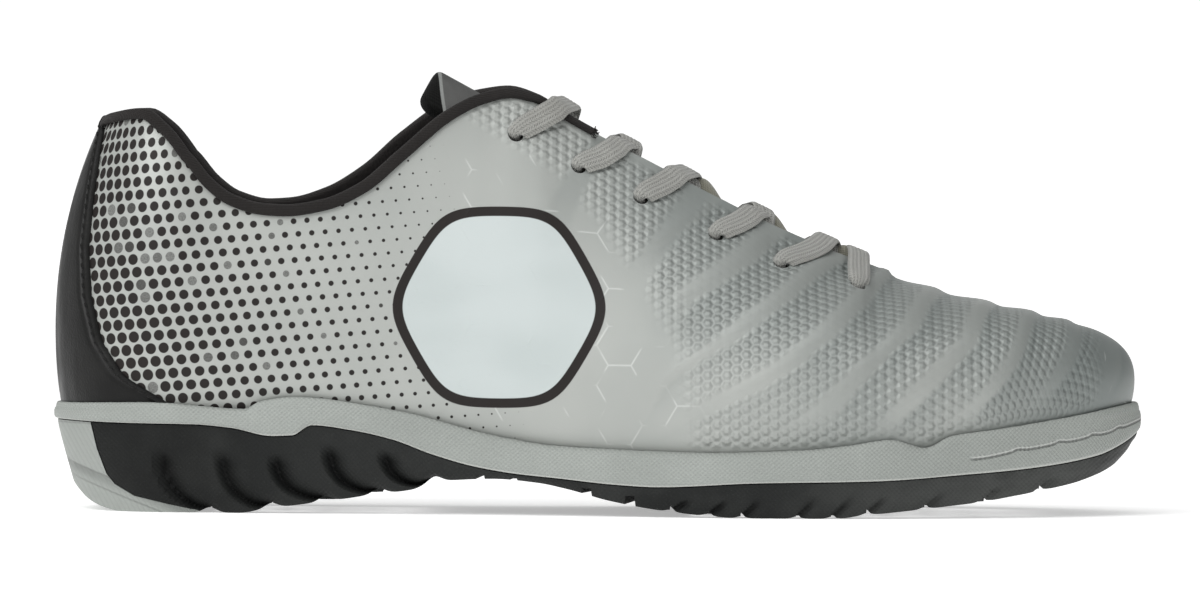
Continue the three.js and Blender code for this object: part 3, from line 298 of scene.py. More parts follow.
def section(side, place, t):
    """Distance from the centreline and height on a half section: t is 0 at the bottom and 1 at the top."""
    x, _, dx, _ = ray(side, place)
    out = HALF * by_side(FORM, "out", side, place)
    foot = out - HALF * curve(FORM, "tuck", place)
    wide = INSTEP_HEIGHT * curve(FORM, "wide", place)
    bottom = floor_z(x + foot * dx) + GAP
    u = np.clip(t / WIDEST, 0, 1)
    pull = mix(bottom, wide, 0.4)
    low_r = (1 - u) ** 2 * foot + (1 - (1 - u) ** 2) * out
    low_z = (1 - u) ** 2 * bottom + 2 * u * (1 - u) * pull + u * u * wide
    u = np.clip((t - WIDEST) / (1 - WIDEST), 0, 1)
    top_r, top_z, lean = top_edge(side, place)
    full = curve(FORM, "full", place)
    reach = full * ((out - top_r) * np.sin(lean) + (top_z - wide) * np.cos(lean))
    b0, b1, b2, b3 = (1 - u) ** 3, 3 * u * (1 - u) ** 2, 3 * u * u * (1 - u), u ** 3
    high_r = (b0 + b1) * out + b2 * (top_r + reach * np.sin(lean)) + b3 * top_r
    high_z = b0 * wide + b1 * mix(wide, top_z, full) + b2 * (top_z - reach * np.cos(lean)) + b3 * top_z
    below = t < WIDEST
    return np.where(below, low_r, high_r), np.where(below, low_z, high_z)


def floats(*values):
    """The values as arrays of one shape."""
    return np.broadcast_arrays(*(np.asarray(value, float) for value in values))


def skin(side, place, t):
    side, place, t = floats(side, place, t)
    r, z = section(side, place, t)
    return on_ray(side, place, r, z)


def skin_grid(side, place, level):
    return skin(side[:, None], place[:, None], level[None, :])


def unit(v):
    return v / np.maximum(np.linalg.norm(v, axis=-1, keepdims=True), 1e-9)


def skin_normal(side, place, t):
    side, place, t = floats(side, place, t)
    d = 0.004
    along = skin(side, np.minimum(place + d, 5), t) - skin(side, np.maximum(place - d, 0.001), t)
    up = skin(side, place, np.minimum(t + d, 1)) - skin(side, place, np.maximum(t - d, 0))
    return unit(np.cross(along, up) * -side[..., None])


def wall_at(place, t):
    """The upper's wall: turned at the rim, padded behind the collar, plain elsewhere."""
    below = (1 - t) / (1 - WIDEST)
    collar = fade(place, at_body(0.28), at_body(0.4))
    pad = ease(below, 0.1, 0.22) * fade(below, 0.3, 0.62)
    rim = fade(below, 0.1, 0.3)
    return WALL + collar * (COLLAR_PAD * pad + (RIM_WALL - WALL) * rim)


# Meshes

WELD_STEPS = 2000  # places that are told apart in a millimetre


def grid_faces(columns, rows, closed=False):
    """Faces of a grid whose points are numbered down each column in turn."""
    i, j = np.meshgrid(np.arange(columns if closed else columns - 1), np.arange(rows - 1), indexing="ij")
    i, j = i.ravel(), j.ravel()
    n = (i + 1) % columns
    return np.stack((i * rows + j, n * rows + j, n * rows + j + 1, i * rows + j + 1), 1)


def loop_faces(count, rings, caps=True):
    """Faces of a tube of rings with the same number of points, and of its two ends."""
    i, j = np.meshgrid(np.arange(rings - 1), np.arange(count), indexing="ij")
    k = (j + 1) % count
    faces = np.stack((i * count + j, i * count + k, (i + 1) * count + k, (i + 1) * count + j), -1)
    ends = [list(range(count))[::-1], [(rings - 1) * count + q for q in range(count)]]
    return faces.reshape(-1, 4).tolist() + (ends if caps else [])


def without_repeats(faces):
    """Each corner once in a face. Faces that lose one become triangles or go."""
    rings = (list(dict.fromkeys(face)) for face in faces)
    return [ring for ring in rings if len(ring) > 2]


def weld(points, faces, *others):
    """Merges points in the same place."""
    keys = np.round(points * WELD_STEPS).astype(np.int64)
    _, first, index = np.unique(keys, axis=0, return_index=True, return_inverse=True)
    return points[first], without_repeats(index.ravel()[faces].tolist()), *[other[first] for other in others]


def wall_faces(faces, count):
    """Faces of a closed wall between an outer sheet and a copy of it, which has the next numbers."""
    edges = {(f[k], f[(k + 1) % len(f)]) for f in faces for k in range(len(f))}
    inner = [[i + count for i in reversed(f)] for f in faces]
    rim = [[b, a, a + count, b + count] for a, b in edges if (b, a) not in edges]
    return [list(f) for f in faces] + inner + rim


def sheet_normals(points, faces):
    normals = np.zeros_like(points)
    for corners in (3, 4):
        f = np.array([g for g in faces if len(g) == corners], int).reshape(-1, corners)
        a, b, c, d = (points[f[:, k]] for k in (0, 1, 2, -1))
        area = np.cross(b - a, c - a) if corners == 3 else np.cross(c - a, d - b)
        for k in range(corners):
            np.add.at(normals, f[:, k], area)
    return unit(normals)


def place_object(name, mesh):
    obj = bpy.data.objects.new(name, mesh)
    bpy.context.scene.collection.objects.link(obj)
    return obj


def make_object(name, points, faces, material=None, attributes=None):
    """An object at the origin from shoe millimetres."""
    mesh = bpy.data.meshes.new(name)
    places = (np.asarray(points, float) - ORIGIN) * MM
    mesh.from_pydata(places.tolist(), [], [list(map(int, f)) for f in faces])
    for key, values in (attributes or {}).items():
        values = np.asarray(values, np.float32)
        kind, field = ("FLOAT", "value") if values.ndim == 1 else ("FLOAT_VECTOR", "vector")
        mesh.attributes.new(key, kind, "POINT").data.foreach_set(field, values.ravel())
    mesh.polygons.foreach_set("use_smooth", np.full(len(mesh.polygons), True))
    mesh.update()
    if material:
        mesh.materials.append(material)
    return place_object(name, mesh)


def closed_wall(name, points, faces, thickness, material, attributes=None, lift=0.0):
    """A closed shell whose outer sheet is given, with its own thickness at each point."""
    names = list(attributes or {})
    points, faces, thickness, *values = weld(points, faces, thickness, *[attributes[k] for k in names])
    normals = sheet_normals(points, faces)
    both = np.concatenate((points + normals * lift, points - normals * thickness[:, None]))
    found = {k: np.concatenate((v, v)) for k, v in zip(names, values)}
    return make_object(name, both, wall_faces(faces, len(points)), material, found)


def apply_modifiers(obj):
    """The evaluated mesh takes the object's own place, with no modifier left."""
    bpy.context.view_layer.update()
    evaluated = obj.evaluated_get(bpy.context.evaluated_depsgraph_get())
    mesh = bpy.data.meshes.new_from_object(evaluated)
    obj.modifiers.clear()
    obj.data = mesh
    return obj


def cut(obj, tool, operation="DIFFERENCE"):
    modifier = obj.modifiers.new("cut", "BOOLEAN")
    modifier.operation, modifier.solver, modifier.object = operation, "MANIFOLD", tool
    apply_modifiers(obj)
    bpy.data.objects.remove(tool)
    return obj


def shade_by_angle(obj, degrees):
    """Smooth shading with sharp edges where two faces meet at more than this angle."""
    bm = bmesh.new()
    bm.from_mesh(obj.data)
    for face in bm.faces:
        face.smooth = True
    for edge in bm.edges:
        edge.smooth = not (len(edge.link_faces) == 2 and edge.calc_face_angle(0) > math.radians(degrees))
    bm.to_mesh(obj.data)
    bm.free()
    return obj


def turn_outwards(obj):
    """Turns a closed mesh round if it is inside out."""
    bm = bmesh.new()
    bm.from_mesh(obj.data)
    if bm.calc_volume(signed=True) < 0:
        bmesh.ops.reverse_faces(bm, faces=bm.faces)
        bm.to_mesh(obj.data)
    bm.free()
    return obj


def sweep(name, rings, material=None, attributes=None):
    """A closed tube through rings of points, with flat ends."""
    faces = loop_faces(rings.shape[1], rings.shape[0])
    return turn_outwards(make_object(name, rings.reshape(-1, 3), faces, material, attributes))


def ring_stack(name, rings, material=None, attributes=None):
    """A closed body from rings with the same places, its ends closed by strips across the shoe."""
    n, last = len(rings[0]), (len(rings) - 1) * len(rings[0])
    faces = loop_faces(n, len(rings), caps=False)
    for i in range(n // 2):
        a, b, c, d = i, i + 1, (n - i - 1) % n, (n - i) % n
        faces += [[a, d, c, b], [last + a, last + b, last + c, last + d]]
    return turn_outwards(make_object(name, np.concatenate(rings), without_repeats(faces), material, attributes))


def join(objects, name):
    """One object from several, all at the origin."""
    bm = bmesh.new()
    for obj in objects:
        bm.from_mesh(obj.data)
    mesh = bpy.data.meshes.new(name)
    bm.to_mesh(mesh)
    bm.free()
    for material in objects[0].data.materials:
        mesh.materials.append(material)
    for obj in objects:
        bpy.data.objects.remove(obj)
    return place_object(name, mesh)


def finish(obj, slot, *nodes):
    """Puts a finished piece on the shoe's body, in the place of the nodes that it stands for."""
    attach(obj, "root")
    if nodes:
        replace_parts(obj, *nodes)
    return obj


# Trees of nodes

class Value:
    """A socket in a tree of nodes. A sum with it adds the node that works it out."""

    def __init__(self, tree, socket):
        self.tree, self.socket = tree, socket

    def __abs__(self):
        return self.tree.math("ABSOLUTE", self)


SIGNS = {"add": "ADD", "sub": "SUBTRACT", "mul": "MULTIPLY", "truediv": "DIVIDE", "pow": "POWER"}
for sign, operation in SIGNS.items():
    setattr(Value, f"__{sign}__", lambda a, b, kind=operation: a.tree.math(kind, a, b))
    setattr(Value, f"__r{sign}__", lambda a, b, kind=operation: a.tree.math(kind, b, a))


class Nodes:
    """Short ways to add nodes to a tree."""

    def __init__(self, tree):
        self.tree = tree

    def put(self, socket, value):
        if isinstance(value, Value):
            self.tree.links.new(value.socket, socket)
        elif value is not None:
            socket.default_value = (*value, 1) if socket.type == "RGBA" else value

    def add(self, kind, *inputs, out=0, named=None, **settings):
        """A new node and the value that comes out of it. Inputs go in order, or by name or number."""
        node = self.tree.nodes.new(kind if "Node" in kind else "ShaderNode" + kind)
        for key, value in settings.items():
            setattr(node, key, value)
        for socket, value in zip(node.inputs, inputs):
            self.put(socket, value)
        for key, value in (named or {}).items():
            self.put(node.inputs[key], value)
        return Value(self, node.outputs[out])

    def math(self, operation, a, b=None):
        return self.add("Math", a, b, operation=operation)

    def vector(self, operation, a, b=None, c=None):
        out = "Value" if operation in ("LENGTH", "DISTANCE") else "Vector"
        return self.add("VectorMath", a, b, c, operation=operation, out=out)

    def attribute(self, name):
        return self.add("Attribute", attribute_name=name, attribute_type="GEOMETRY", out="Vector")

    def amount(self, name):
        return self.add("Attribute", attribute_name=name, attribute_type="GEOMETRY", out="Fac")

    def span(self, value, low, high, to_low=0.0, to_high=1.0, smooth=True):
        """Maps a range onto another one, held at both ends."""
        kind = "SMOOTHSTEP" if smooth else "LINEAR"
        return self.add("MapRange", value, low, high, to_low, to_high, interpolation_type=kind)

    def band(self, value, rise, fall):
        """1 between two slopes, each given by its start and end, and 0 outside them."""
        return self.span(value, *rise) * self.span(value, *fall, 1.0, 0.0)

    def wave(self, value, pitch):
        return self.math("SINE", value * (2 * math.pi / pitch))

    def blend(self, factor, a, b):
        return self.add("Mix", named={0: factor, 6: a, 7: b}, out=2, data_type="RGBA", blend_type="MIX")

    def layers(self, colour, *others):
        """Other colours over the first one, each with the amount of it."""
        for factor, other in others:
            colour = self.blend(factor, colour, other)
        return colour

    def xyz(self, vector):
        node = self.add("SeparateXYZ", vector).socket.node
        return [Value(self, socket) for socket in node.outputs]

    def combine(self, x, y, z=0.0):
        return self.add("CombineXYZ", x, y, z)

    def honeycomb(self, vector, pitch):
        """Distance from the nearest cell's edge line, from 0 on the line to 1 in the cell's centre."""
        half = tuple(s / 2 for s in (pitch, pitch * math.sqrt(3), 1))
        low = tuple(-h for h in half)
        first = self.vector("WRAP", vector, half, low)
        second = self.vector("WRAP", self.vector("SUBTRACT", vector, half), half, low)
        near = self.math("LESS_THAN", self.vector("LENGTH", first), self.vector("LENGTH", second))
        middle = self.add("Mix", named={0: near, 4: second, 5: first}, out=1, data_type="VECTOR")
        x, y, _ = self.xyz(self.vector("ABSOLUTE", middle))
        return 1 - self.math("MAXIMUM", x, x * 0.5 + y * (math.sqrt(3) / 2)) / (pitch / 2)

    def bump(self, height, distance, strength=1.0, normal=None):
        named = {"Strength": strength, "Distance": distance, "Height": height, "Normal": normal}
        return self.add("Bump", named=named, out="Normal")


# Materials

class Finish(Nodes):
    """A new material with its shader."""

    def __init__(self, name):
        self.material = bpy.data.materials.new(name)
        self.material.use_nodes = True
        super().__init__(self.material.node_tree)
        self.place = self.add("TexCoord", out="Object")

    def noise(self, scale, detail=2.0, roughness=0.5, vector=None):
        named = {"Vector": vector or self.place, "Scale": scale, "Detail": detail, "Roughness": roughness}
        return self.add("TexNoise", named=named, out="Fac")

    @property
    def millimetres(self):
        return self.vector("MULTIPLY", self.place, (1 / MM,) * 3)

    def done(self, **values):
        """Sets the shader's own sockets and gives the material back."""
        shader = next(n for n in self.tree.nodes if n.type == "BSDF_PRINCIPLED")
        for name, value in values.items():
            self.put(shader.inputs[name.replace("_", " ")], value)
        return self.material


def times(colour, by):
    return tuple(min(c * by, 1) for c in colour)


DOT_ROW = (3.53, 0.29)  # from one printed dot to the next, in millimetres
DOT_COLUMN = (1.31, -3.31)
PANEL_CORNERS = 8  # the higher it is, the sharper the panel's corners are
PANEL_SOFT = 0.12  # half the width of the panel's printed edge


def silver_skin(sizes):
    """Satin silver film: printed dots at the heel, a plain six-sided panel and pressed honeycomb."""
    f = Finish("silver film")
    wrap, side_map = f.attribute("wrap"), f.attribute("side")
    u, v, _ = f.xyz(side_map)
    tone = f.noise(26.0, 3.0, 0.55)
    grain = f.noise(2600.0, 2.0, 0.6)

    # Fine hexagon lines on the smooth part
    large = f.honeycomb(f.vector("ADD", wrap, (1.5, 4.0, 0.0)), sizes.line_pitch / MM)
    patches = f.span(f.noise(0.085, 1.0, vector=wrap), 0.53, 0.63)
    patchy = f.span(large, 0.0, 0.075, 1.0, 0.0) * f.amount("lines") * patches
    # Two tones by the light value (partly painted shade), painted shade in the valleys, random tone and the fine drawn
    # lines
    silver = f.layers(
        f.blend(f.amount("light"), sizes.silver_dark, sizes.silver_light),
        (f.amount("valley") * 0.62, sizes.silver_dark), (f.span(tone, 0.35, 0.7, 0.0, 0.16), (0.24, 0.26, 0.25)),
        (patchy * 0.32, (0.8, 0.82, 0.8)),
    )

    # Printed dots on a slanted lattice, smaller towards the middle of the shoe
    (ax, az), (bx, bz) = DOT_ROW, DOT_COLUMN
    area = ax * bz - az * bx
    row = f.math("ROUND", u * (bz / area) - v * (bx / area))
    column = f.math("ROUND", v * (ax / area) - u * (az / area))
    dot_u, dot_v = row * ax + column * bx, row * az + column * bz
    away = f.vector("DISTANCE", f.combine(u, v), f.combine(dot_u, dot_v))
    radius = f.span(dot_u + (dot_v - 55) * 0.31, 20, 125, sizes.dot_size / MM / 2, 0.0, False)
    edge = radius - away
    chance = f.add("TexWhiteNoise", f.combine(row, column), out="Value", noise_dimensions="3D")
    rubbed = f.span(chance, 0.93, 1.0, 0.0, 0.5) * f.span(f.noise(2.4, vector=side_map), 0.3, 0.7, 0.6, 1.0)
    ink = f.span(edge, -0.1, 0.1) * (1 - rubbed) * f.span(radius, 0.08, 0.25)

    # Plain panel with a dark outline and slightly rounded corners
    pu, pv = u - sizes.panel_x / MM, v - sizes.panel_z / MM
    leg, half_v = pu * (math.sqrt(3) / 2), pv * 0.5
    first, second, third = (abs(side) ** PANEL_CORNERS for side in (pv, leg + half_v, leg - half_v))
    ring = (first + second + third) ** (1 / PANEL_CORNERS)
    reach = sizes.panel_reach / MM
    inside, white = (
        f.span(ring, r - PANEL_SOFT, r + PANEL_SOFT, 1.0, 0.0) for r in (reach, reach - sizes.outline / MM)
    )
    haze = f.noise(1.0, 1.0, vector=f.vector("MULTIPLY", side_map, (0.03, 0.06, 1.0)))
    panel = f.blend(f.span(haze, 0.3, 0.7), (0.485, 0.536, 0.53), (0.53, 0.58, 0.575))
    colour = f.layers(silver, (ink, sizes.ink), (inside, sizes.ink), (white, panel))

    # Relief
    cell = f.span(f.honeycomb(wrap, sizes.cell_pitch / MM), 0.02, 0.75)
    normal = f.bump(cell * (f.amount("cells") * (1 - inside)), sizes.cell_height)
    raised = f.span(edge, -0.15, 0.15, 0.0, 0.2) + inside * 0.9
    normal = f.bump(raised + patchy * 0.25, 0.00012, 1.0, normal)
    normal = f.bump(grain * 0.12 + tone, 0.0004, 0.35, normal)
    covered = f.math("MAXIMUM", ink, inside)
    printed = covered - white
    return f.done(
        Base_Color=colour, Roughness=f.span(tone, 0.3, 0.7, 0.44, 0.56) + inside * -0.06, Normal=normal,
        Metallic=(1 - covered) * 0.3, Specular_IOR_Level=f.span(printed, 0, 1, 0.5, 0.2),
        Coat_Weight=f.span(printed, 0, 1, 0.12, 0.0), Coat_Roughness=0.3,
    )


def woven_cloth(name, colour, pitch, depth=0.00015, mesh_like=False):
    """Cloth woven on the object's own coordinates, or a knitted mesh with small dark holes."""
    f = Finish(name)
    x, y, z = f.xyz(f.millimetres)
    thread = f.wave(x + z, pitch) * f.wave(z - (x + y), pitch)
    fuzz = f.noise(900.0, 3.0, 0.7)
    tint = f.layers(
        times(colour, 0.45), (f.span(thread, -0.9, 0.5 if mesh_like else 0.1), colour),
        (f.span(f.noise(60.0), 0.4, 0.75, 0.0, 0.2), times(colour, 1.6)),
    )
    return f.done(
        Base_Color=tint, Roughness=0.92, Specular_IOR_Level=0.2, Sheen_Weight=0.06, Sheen_Roughness=0.5,
        Normal=f.bump(thread + fuzz * 0.8, depth, 0.8),
    )


def smooth_leather(sizes):
    """Black leather with fine pores and soft wrinkles, a little dusty."""
    f = Finish("black leather")
    pores = f.add("TexVoronoi", named={"Vector": f.place, "Scale": 1500.0}, out="Distance", feature="F1")
    folds = f.noise(160.0, 4.0, 0.6, f.vector("MULTIPLY", f.place, (1.0, 1.0, 0.35)))
    tint = f.blend(f.span(f.noise(45.0), 0.35, 0.7), sizes.leather, times(sizes.leather, 1.9))
    return f.done(
        Base_Color=tint, Roughness=f.span(folds, 0.3, 0.7, 0.34, 0.5), Specular_IOR_Level=0.16,
        Normal=f.bump(pores * 0.35 + folds, 0.0002, 0.6),
    )


def tread_rubber(sizes):
    """Black rubber with a fine pressed cross-hatch: painted shade at the back and in its grooves, dusty at the toe."""
    f = Finish("black rubber")
    dust, deep = (0.045, 0.047, 0.045), times(sizes.black, 0.25)
    x, _, z = f.xyz(f.millimetres)
    fine, wide = f.noise(1400.0, 3.0, 0.6), f.noise(38.0, 3.0, 0.6)
    crossed = (f.wave(x + z, 1.25) + f.wave(x - z * 1.1, 1.25 / 0.92)) * 0.5
    tint = f.layers(
        sizes.black, (f.span(wide, 0.4, 0.75, 0.0, 0.6), dust),
        # Painted shade at the back of the heel; the middle of the tread is made lighter
        (f.span(x, -112, -86, 0.55, 0.0), deep),
        (f.span(x, -92, -72, 0.0, 0.2) * f.span(x, -20, 10, 1.0, 0.0), dust),
        # Painted shade in the side grooves, from the hollow value
        (f.span(f.amount("hollow"), 0.25, 0.95, 0.0, 0.8), deep),
        (f.span(x, 30, 125) * f.span(wide, 0.3, 0.6, 0.4, 1.0), times(dust, 1.6)),
        (f.span(crossed, -0.9, 0.4, 0.16, 0.0), times(sizes.black, 0.5)),
    )
    return f.done(
        Base_Color=tint, Roughness=f.span(wide, 0.3, 0.7, 0.56, 0.72), Specular_IOR_Level=0.16,
        Normal=f.bump(crossed + fine * 0.7, 0.00009, 0.7),
    )


def flat_lace(sizes):
    """Grey flat braid: fine slanted plaits in lengthwise ribs, from its own length and width."""
    f = Finish("lace braid")
    along, across, _ = f.xyz(f.attribute("run"))
    slant = abs(f.math("FRACT", across / 2.1) - 0.5) * 2.4
    fuzz = f.noise(1500.0, 3.0, 0.7)
    height = f.wave(along + slant, 0.85) * 0.6 + (f.wave(across, 1.15) * 0.65 + fuzz * 0.9)
    tint = f.layers(
        times(sizes.lace, 0.62), (f.span(height, -1.0, 0.9), times(sizes.lace, 1.1)),
        (f.span(f.noise(90.0), 0.45, 0.75, 0.0, 0.25), (0.2, 0.19, 0.17)),
    )
    return f.done(
        Base_Color=tint, Roughness=0.9, Sheen_Weight=0.25, Sheen_Roughness=0.5, Normal=f.bump(height, 0.00014, 0.9)
    )


def tongue_cloth(sizes):
    """Cream-grey cloth in the throat, and a black mesh with a light edge line folded over the free end."""
    f = Finish("tongue cloth")
    x, y, _ = f.xyz(f.millimetres)
    end, border = f.amount("end"), f.amount("border")
    weave = f.wave(x + y, 0.95) * f.wave(x - y, 0.95)
    soft = f.noise(70.0, 3.0)
    fuzz = f.noise(1100.0, 3.0, 0.7)
    base = f.blend(end, sizes.tongue_face, sizes.tongue_end)
    dark = f.blend(end, times(sizes.tongue_face, 0.55), times(sizes.tongue_end, 0.3))
    face = f.blend(f.span(soft, 0.3, 0.7), sizes.tongue_outer, times(sizes.tongue_outer, 0.7))
    tint = f.layers(
        dark, (f.span(weave, -0.8, 0.4), base), (f.span(soft, 0.4, 0.75, 0.0, 0.3), dark),
        (f.span(border, 0.5, 0.8) * end, face),
        (f.band(border, (-0.5, -0.2), (0.5, 0.8)) * end * 0.9, (0.3, 0.31, 0.3)),
    )
    return f.done(
        Base_Color=tint, Roughness=0.8, Specular_IOR_Level=f.span(end, 0, 1, 0.25, 0.12), Sheen_Roughness=0.5,
        Sheen_Weight=f.span(end, 0, 1, 0.3, 0.02),
        Normal=f.bump(weave * f.span(end, 0, 1, 0.4, 0.12) + fuzz * 0.7, 0.00018, 0.8),
    )


def sidewall_rubber(sizes):
    """Grey rubber with a pressed cross-hatch, a scalloped line round the toe with a painted highlight on its ledge and
    painted shade under it, dust and a small stain.
    """
    f = Finish("grey rubber")
    x, _, _ = f.xyz(f.millimetres)
    u, v, _ = f.xyz(f.attribute("round"))
    fine, wide = f.noise(1400.0, 3.0, 0.6), f.noise(30.0, 3.0, 0.6)
    crossed = (f.wave(u + v * 1.15, 1.3) + f.wave(u - v * 1.15, 1.3)) * 0.5
    toe, toe_only = f.amount("toe_line"), f.span(x, 242.5 - ORIGIN[0], 244.5 - ORIGIN[0])
    # The toe line: a painted highlight on its raised ledge and painted shade in the dark line just below it
    line = f.band(toe, (-0.6, -0.3), (-0.1, 0.15)) * toe_only
    ledge = f.band(toe, (-0.1, 0.2), (0.4, 0.9)) * toe_only
    away = f.vector("DISTANCE", f.millimetres, (264.0 - ORIGIN[0], -38.0, 22.0))
    tint = f.layers(
        sizes.grey, (f.span(wide, 0.35, 0.7), times(sizes.grey, 0.9)),
        (f.span(crossed, -0.9, 0.3, 0.6, 0.0), times(sizes.grey, 0.78)),
        (line * 0.8, times(sizes.grey, 0.35)),
        (ledge * 0.5, (0.66, 0.68, 0.65)),
        (f.amount("seam_edge") * 0.6, (0.62, 0.63, 0.6)),
        (f.span(away, 1.0, 6.5, 0.85, 0.0) * f.span(f.noise(300.0, 3.0), 0.35, 0.6), (0.21, 0.17, 0.12)),
    )
    normal = f.bump(crossed * 0.8 + fine * 0.5, 0.00014, 0.9)
    normal = f.bump(ledge - line, 0.0004, 0.8, normal)
    return f.done(Base_Color=tint, Roughness=f.span(wide, 0.3, 0.7, 0.5, 0.66), Normal=normal)


def clip_rubber(sizes):
    """Grey rubber of the heel clip, with two slanted steps, painted shade between them, and a fine line under the cup.
    """
    f = Finish("clip rubber")
    x, _, z = f.xyz(f.millimetres)
    x = x + ORIGIN[0]
    fine, wide = f.noise(1400.0, 3.0, 0.6), f.noise(60.0, 3.0, 0.6)
    first = (z - 13.2) + (x - 4.5) * 0.37
    second = (z - 8.9) + (x - 6.7) * 0.38
    upper, lower = f.span(first, -0.35, 0.35), f.span(second, -0.35, 0.35)
    hatch = f.wave(x + z * 0.6, 1.3)
    base = times(sizes.grey, 0.9)
    # Painted shade on the step between the two slanted lines
    tint = f.layers(
        base, (f.span(second, 0.0, 3.2) * (1 - upper) * f.span(wide, 0.3, 0.6, 0.6, 1.0), times(base, 0.6)),
        (f.span(hatch, -1.0, 0.0, 0.3, 0.0), times(base, 0.75)),
        (f.band(z, (22.9, 23.1), (23.3, 23.5)) * 0.35, times(base, 0.4)),
    )
    normal = f.bump((upper + lower) * 3.2 + fine * 0.4 + hatch * 0.3, 0.0002, 0.8)
    return f.done(Base_Color=tint, Roughness=f.span(wide, 0.3, 0.7, 0.5, 0.62), Normal=normal)


# Sizes and colours that a user would change

def length(label, about, value, **more):
    return bpy.props.FloatProperty(name=label, description=about, default=value, unit="LENGTH", precision=5, **more)


def colour(label, about, value):
    return bpy.props.FloatVectorProperty(
        name=label, description=about, default=value, size=3, subtype="COLOR", min=0, max=1
    )


class SkinSizes(bpy.types.PropertyGroup):
    cell_pitch: length("Cell pitch", "Spacing of the pressed honeycomb cells", 0.00295)
    cell_height: length("Cell height", "How far each pressed cell stands out", 0.00044)
    line_pitch: length("Line pitch", "Width of the fine hexagons drawn on the smooth part", 0.0105)
    rib_height: length("Rib height", "Half the depth of the valleys across the forefoot", 0.00074)
    dot_size: length("Dot size", "Diameter of the printed dots at the heel", 0.003)
    panel_x: length("Panel distance", "From the back of the heel to the middle of the side panel", 0.1187)
    panel_z: length("Panel height", "From the ground to the middle of the side panel", 0.0548)
    panel_reach: length("Panel reach", "From the middle of the side panel to its flat sides", 0.0265)
    outline: length("Panel outline", "Width of the side panel's dark outline", 0.0025)
    silver_light: colour("Light silver", "Film on the side and round the heel", (0.415, 0.43, 0.408))
    silver_dark: colour("Dark silver", "Film on the lace area and the toe", (0.163, 0.187, 0.181))
    ink: colour("Ink", "Printed dots and the panel's outline", (0.018, 0.015, 0.014))


class TrimSizes(bpy.types.PropertyGroup):
    leather: colour("Heel leather", "Patch round the back of the heel", (0.0075, 0.0075, 0.0072))
    tape: colour("Binding tape", "Tape folded over the collar's rim", (0.0215, 0.0192, 0.0182))
    lining: colour("Lining", "Cloth inside the shoe", (0.012, 0.012, 0.012))
    tongue_face: colour("Tongue face", "Cloth of the tongue between the laces", (0.262, 0.256, 0.203))
    tongue_end: colour("Tongue end", "Black mesh folded over the tongue's end", (0.0075, 0.0078, 0.0072))
    tongue_outer: colour("Tongue over the collar", "Dark cloth between the laces and the end", (0.12, 0.121, 0.118))
    seam_width: length("Seam width", "Width of the ridge along the heel patch's edge", 0.0026)
    stitch_length: length("Stitch length", "Length of one stitch", 0.0019)
    stitch_pitch: length("Stitch pitch", "Distance from one stitch to the next", 0.0027)
    puff: length("Tongue puff", "How far the tongue swells between two lace crossings", 0.0083)


class LaceSizes(bpy.types.PropertyGroup):
    width: length("Lace width", "Width of the flat lace", LACE_WIDTH * MM)
    thickness: length("Lace thickness", "Thickness of the flat lace", 0.00125)
    lace: colour("Lace", "Grey braid", (0.32, 0.321, 0.3))


class SoleSizes(bpy.types.PropertyGroup):
    grey: colour("Sidewall rubber", "Cup and heel clip", (0.345, 0.367, 0.345))
    black: colour("Tread rubber", "Outsole", (0.0135, 0.0146, 0.0142))
    side_groove: length("Side groove", "Depth of the grooves beside the heel", 0.003)
    stud_radius: length("Stud radius", "From a stud's middle to its corners", STUD_RADIUS * MM)
    insole: colour("Insole", "Cloth of the footbed", (0.03, 0.03, 0.03))


class StageSizes(bpy.types.PropertyGroup):
    distance: length("Camera distance", "From the middle of the shoe to the camera", 3.0)
    elevation: bpy.props.FloatProperty(
        name="Elevation", description="How far the camera looks down", default=math.radians(1.0), subtype="ANGLE"
    )
    roll: bpy.props.FloatProperty(
        name="Roll", description="Turn of the camera about its own view", default=math.radians(0.39), subtype="ANGLE"
    )
    top_light: bpy.props.FloatProperty(name="Top light", description="Power of the overhead softbox", default=5.0)
    front_light: bpy.props.FloatProperty(
        name="Front light", description="Power of the softbox up to the left of the camera", default=17.0
    )
    floor: colour("Floor", "Plain pale floor", (0.93, 0.93, 0.93))


def sizes_of(kind):
    return getattr(bpy.context.scene, "turf_shoe_" + kind)


# Stage

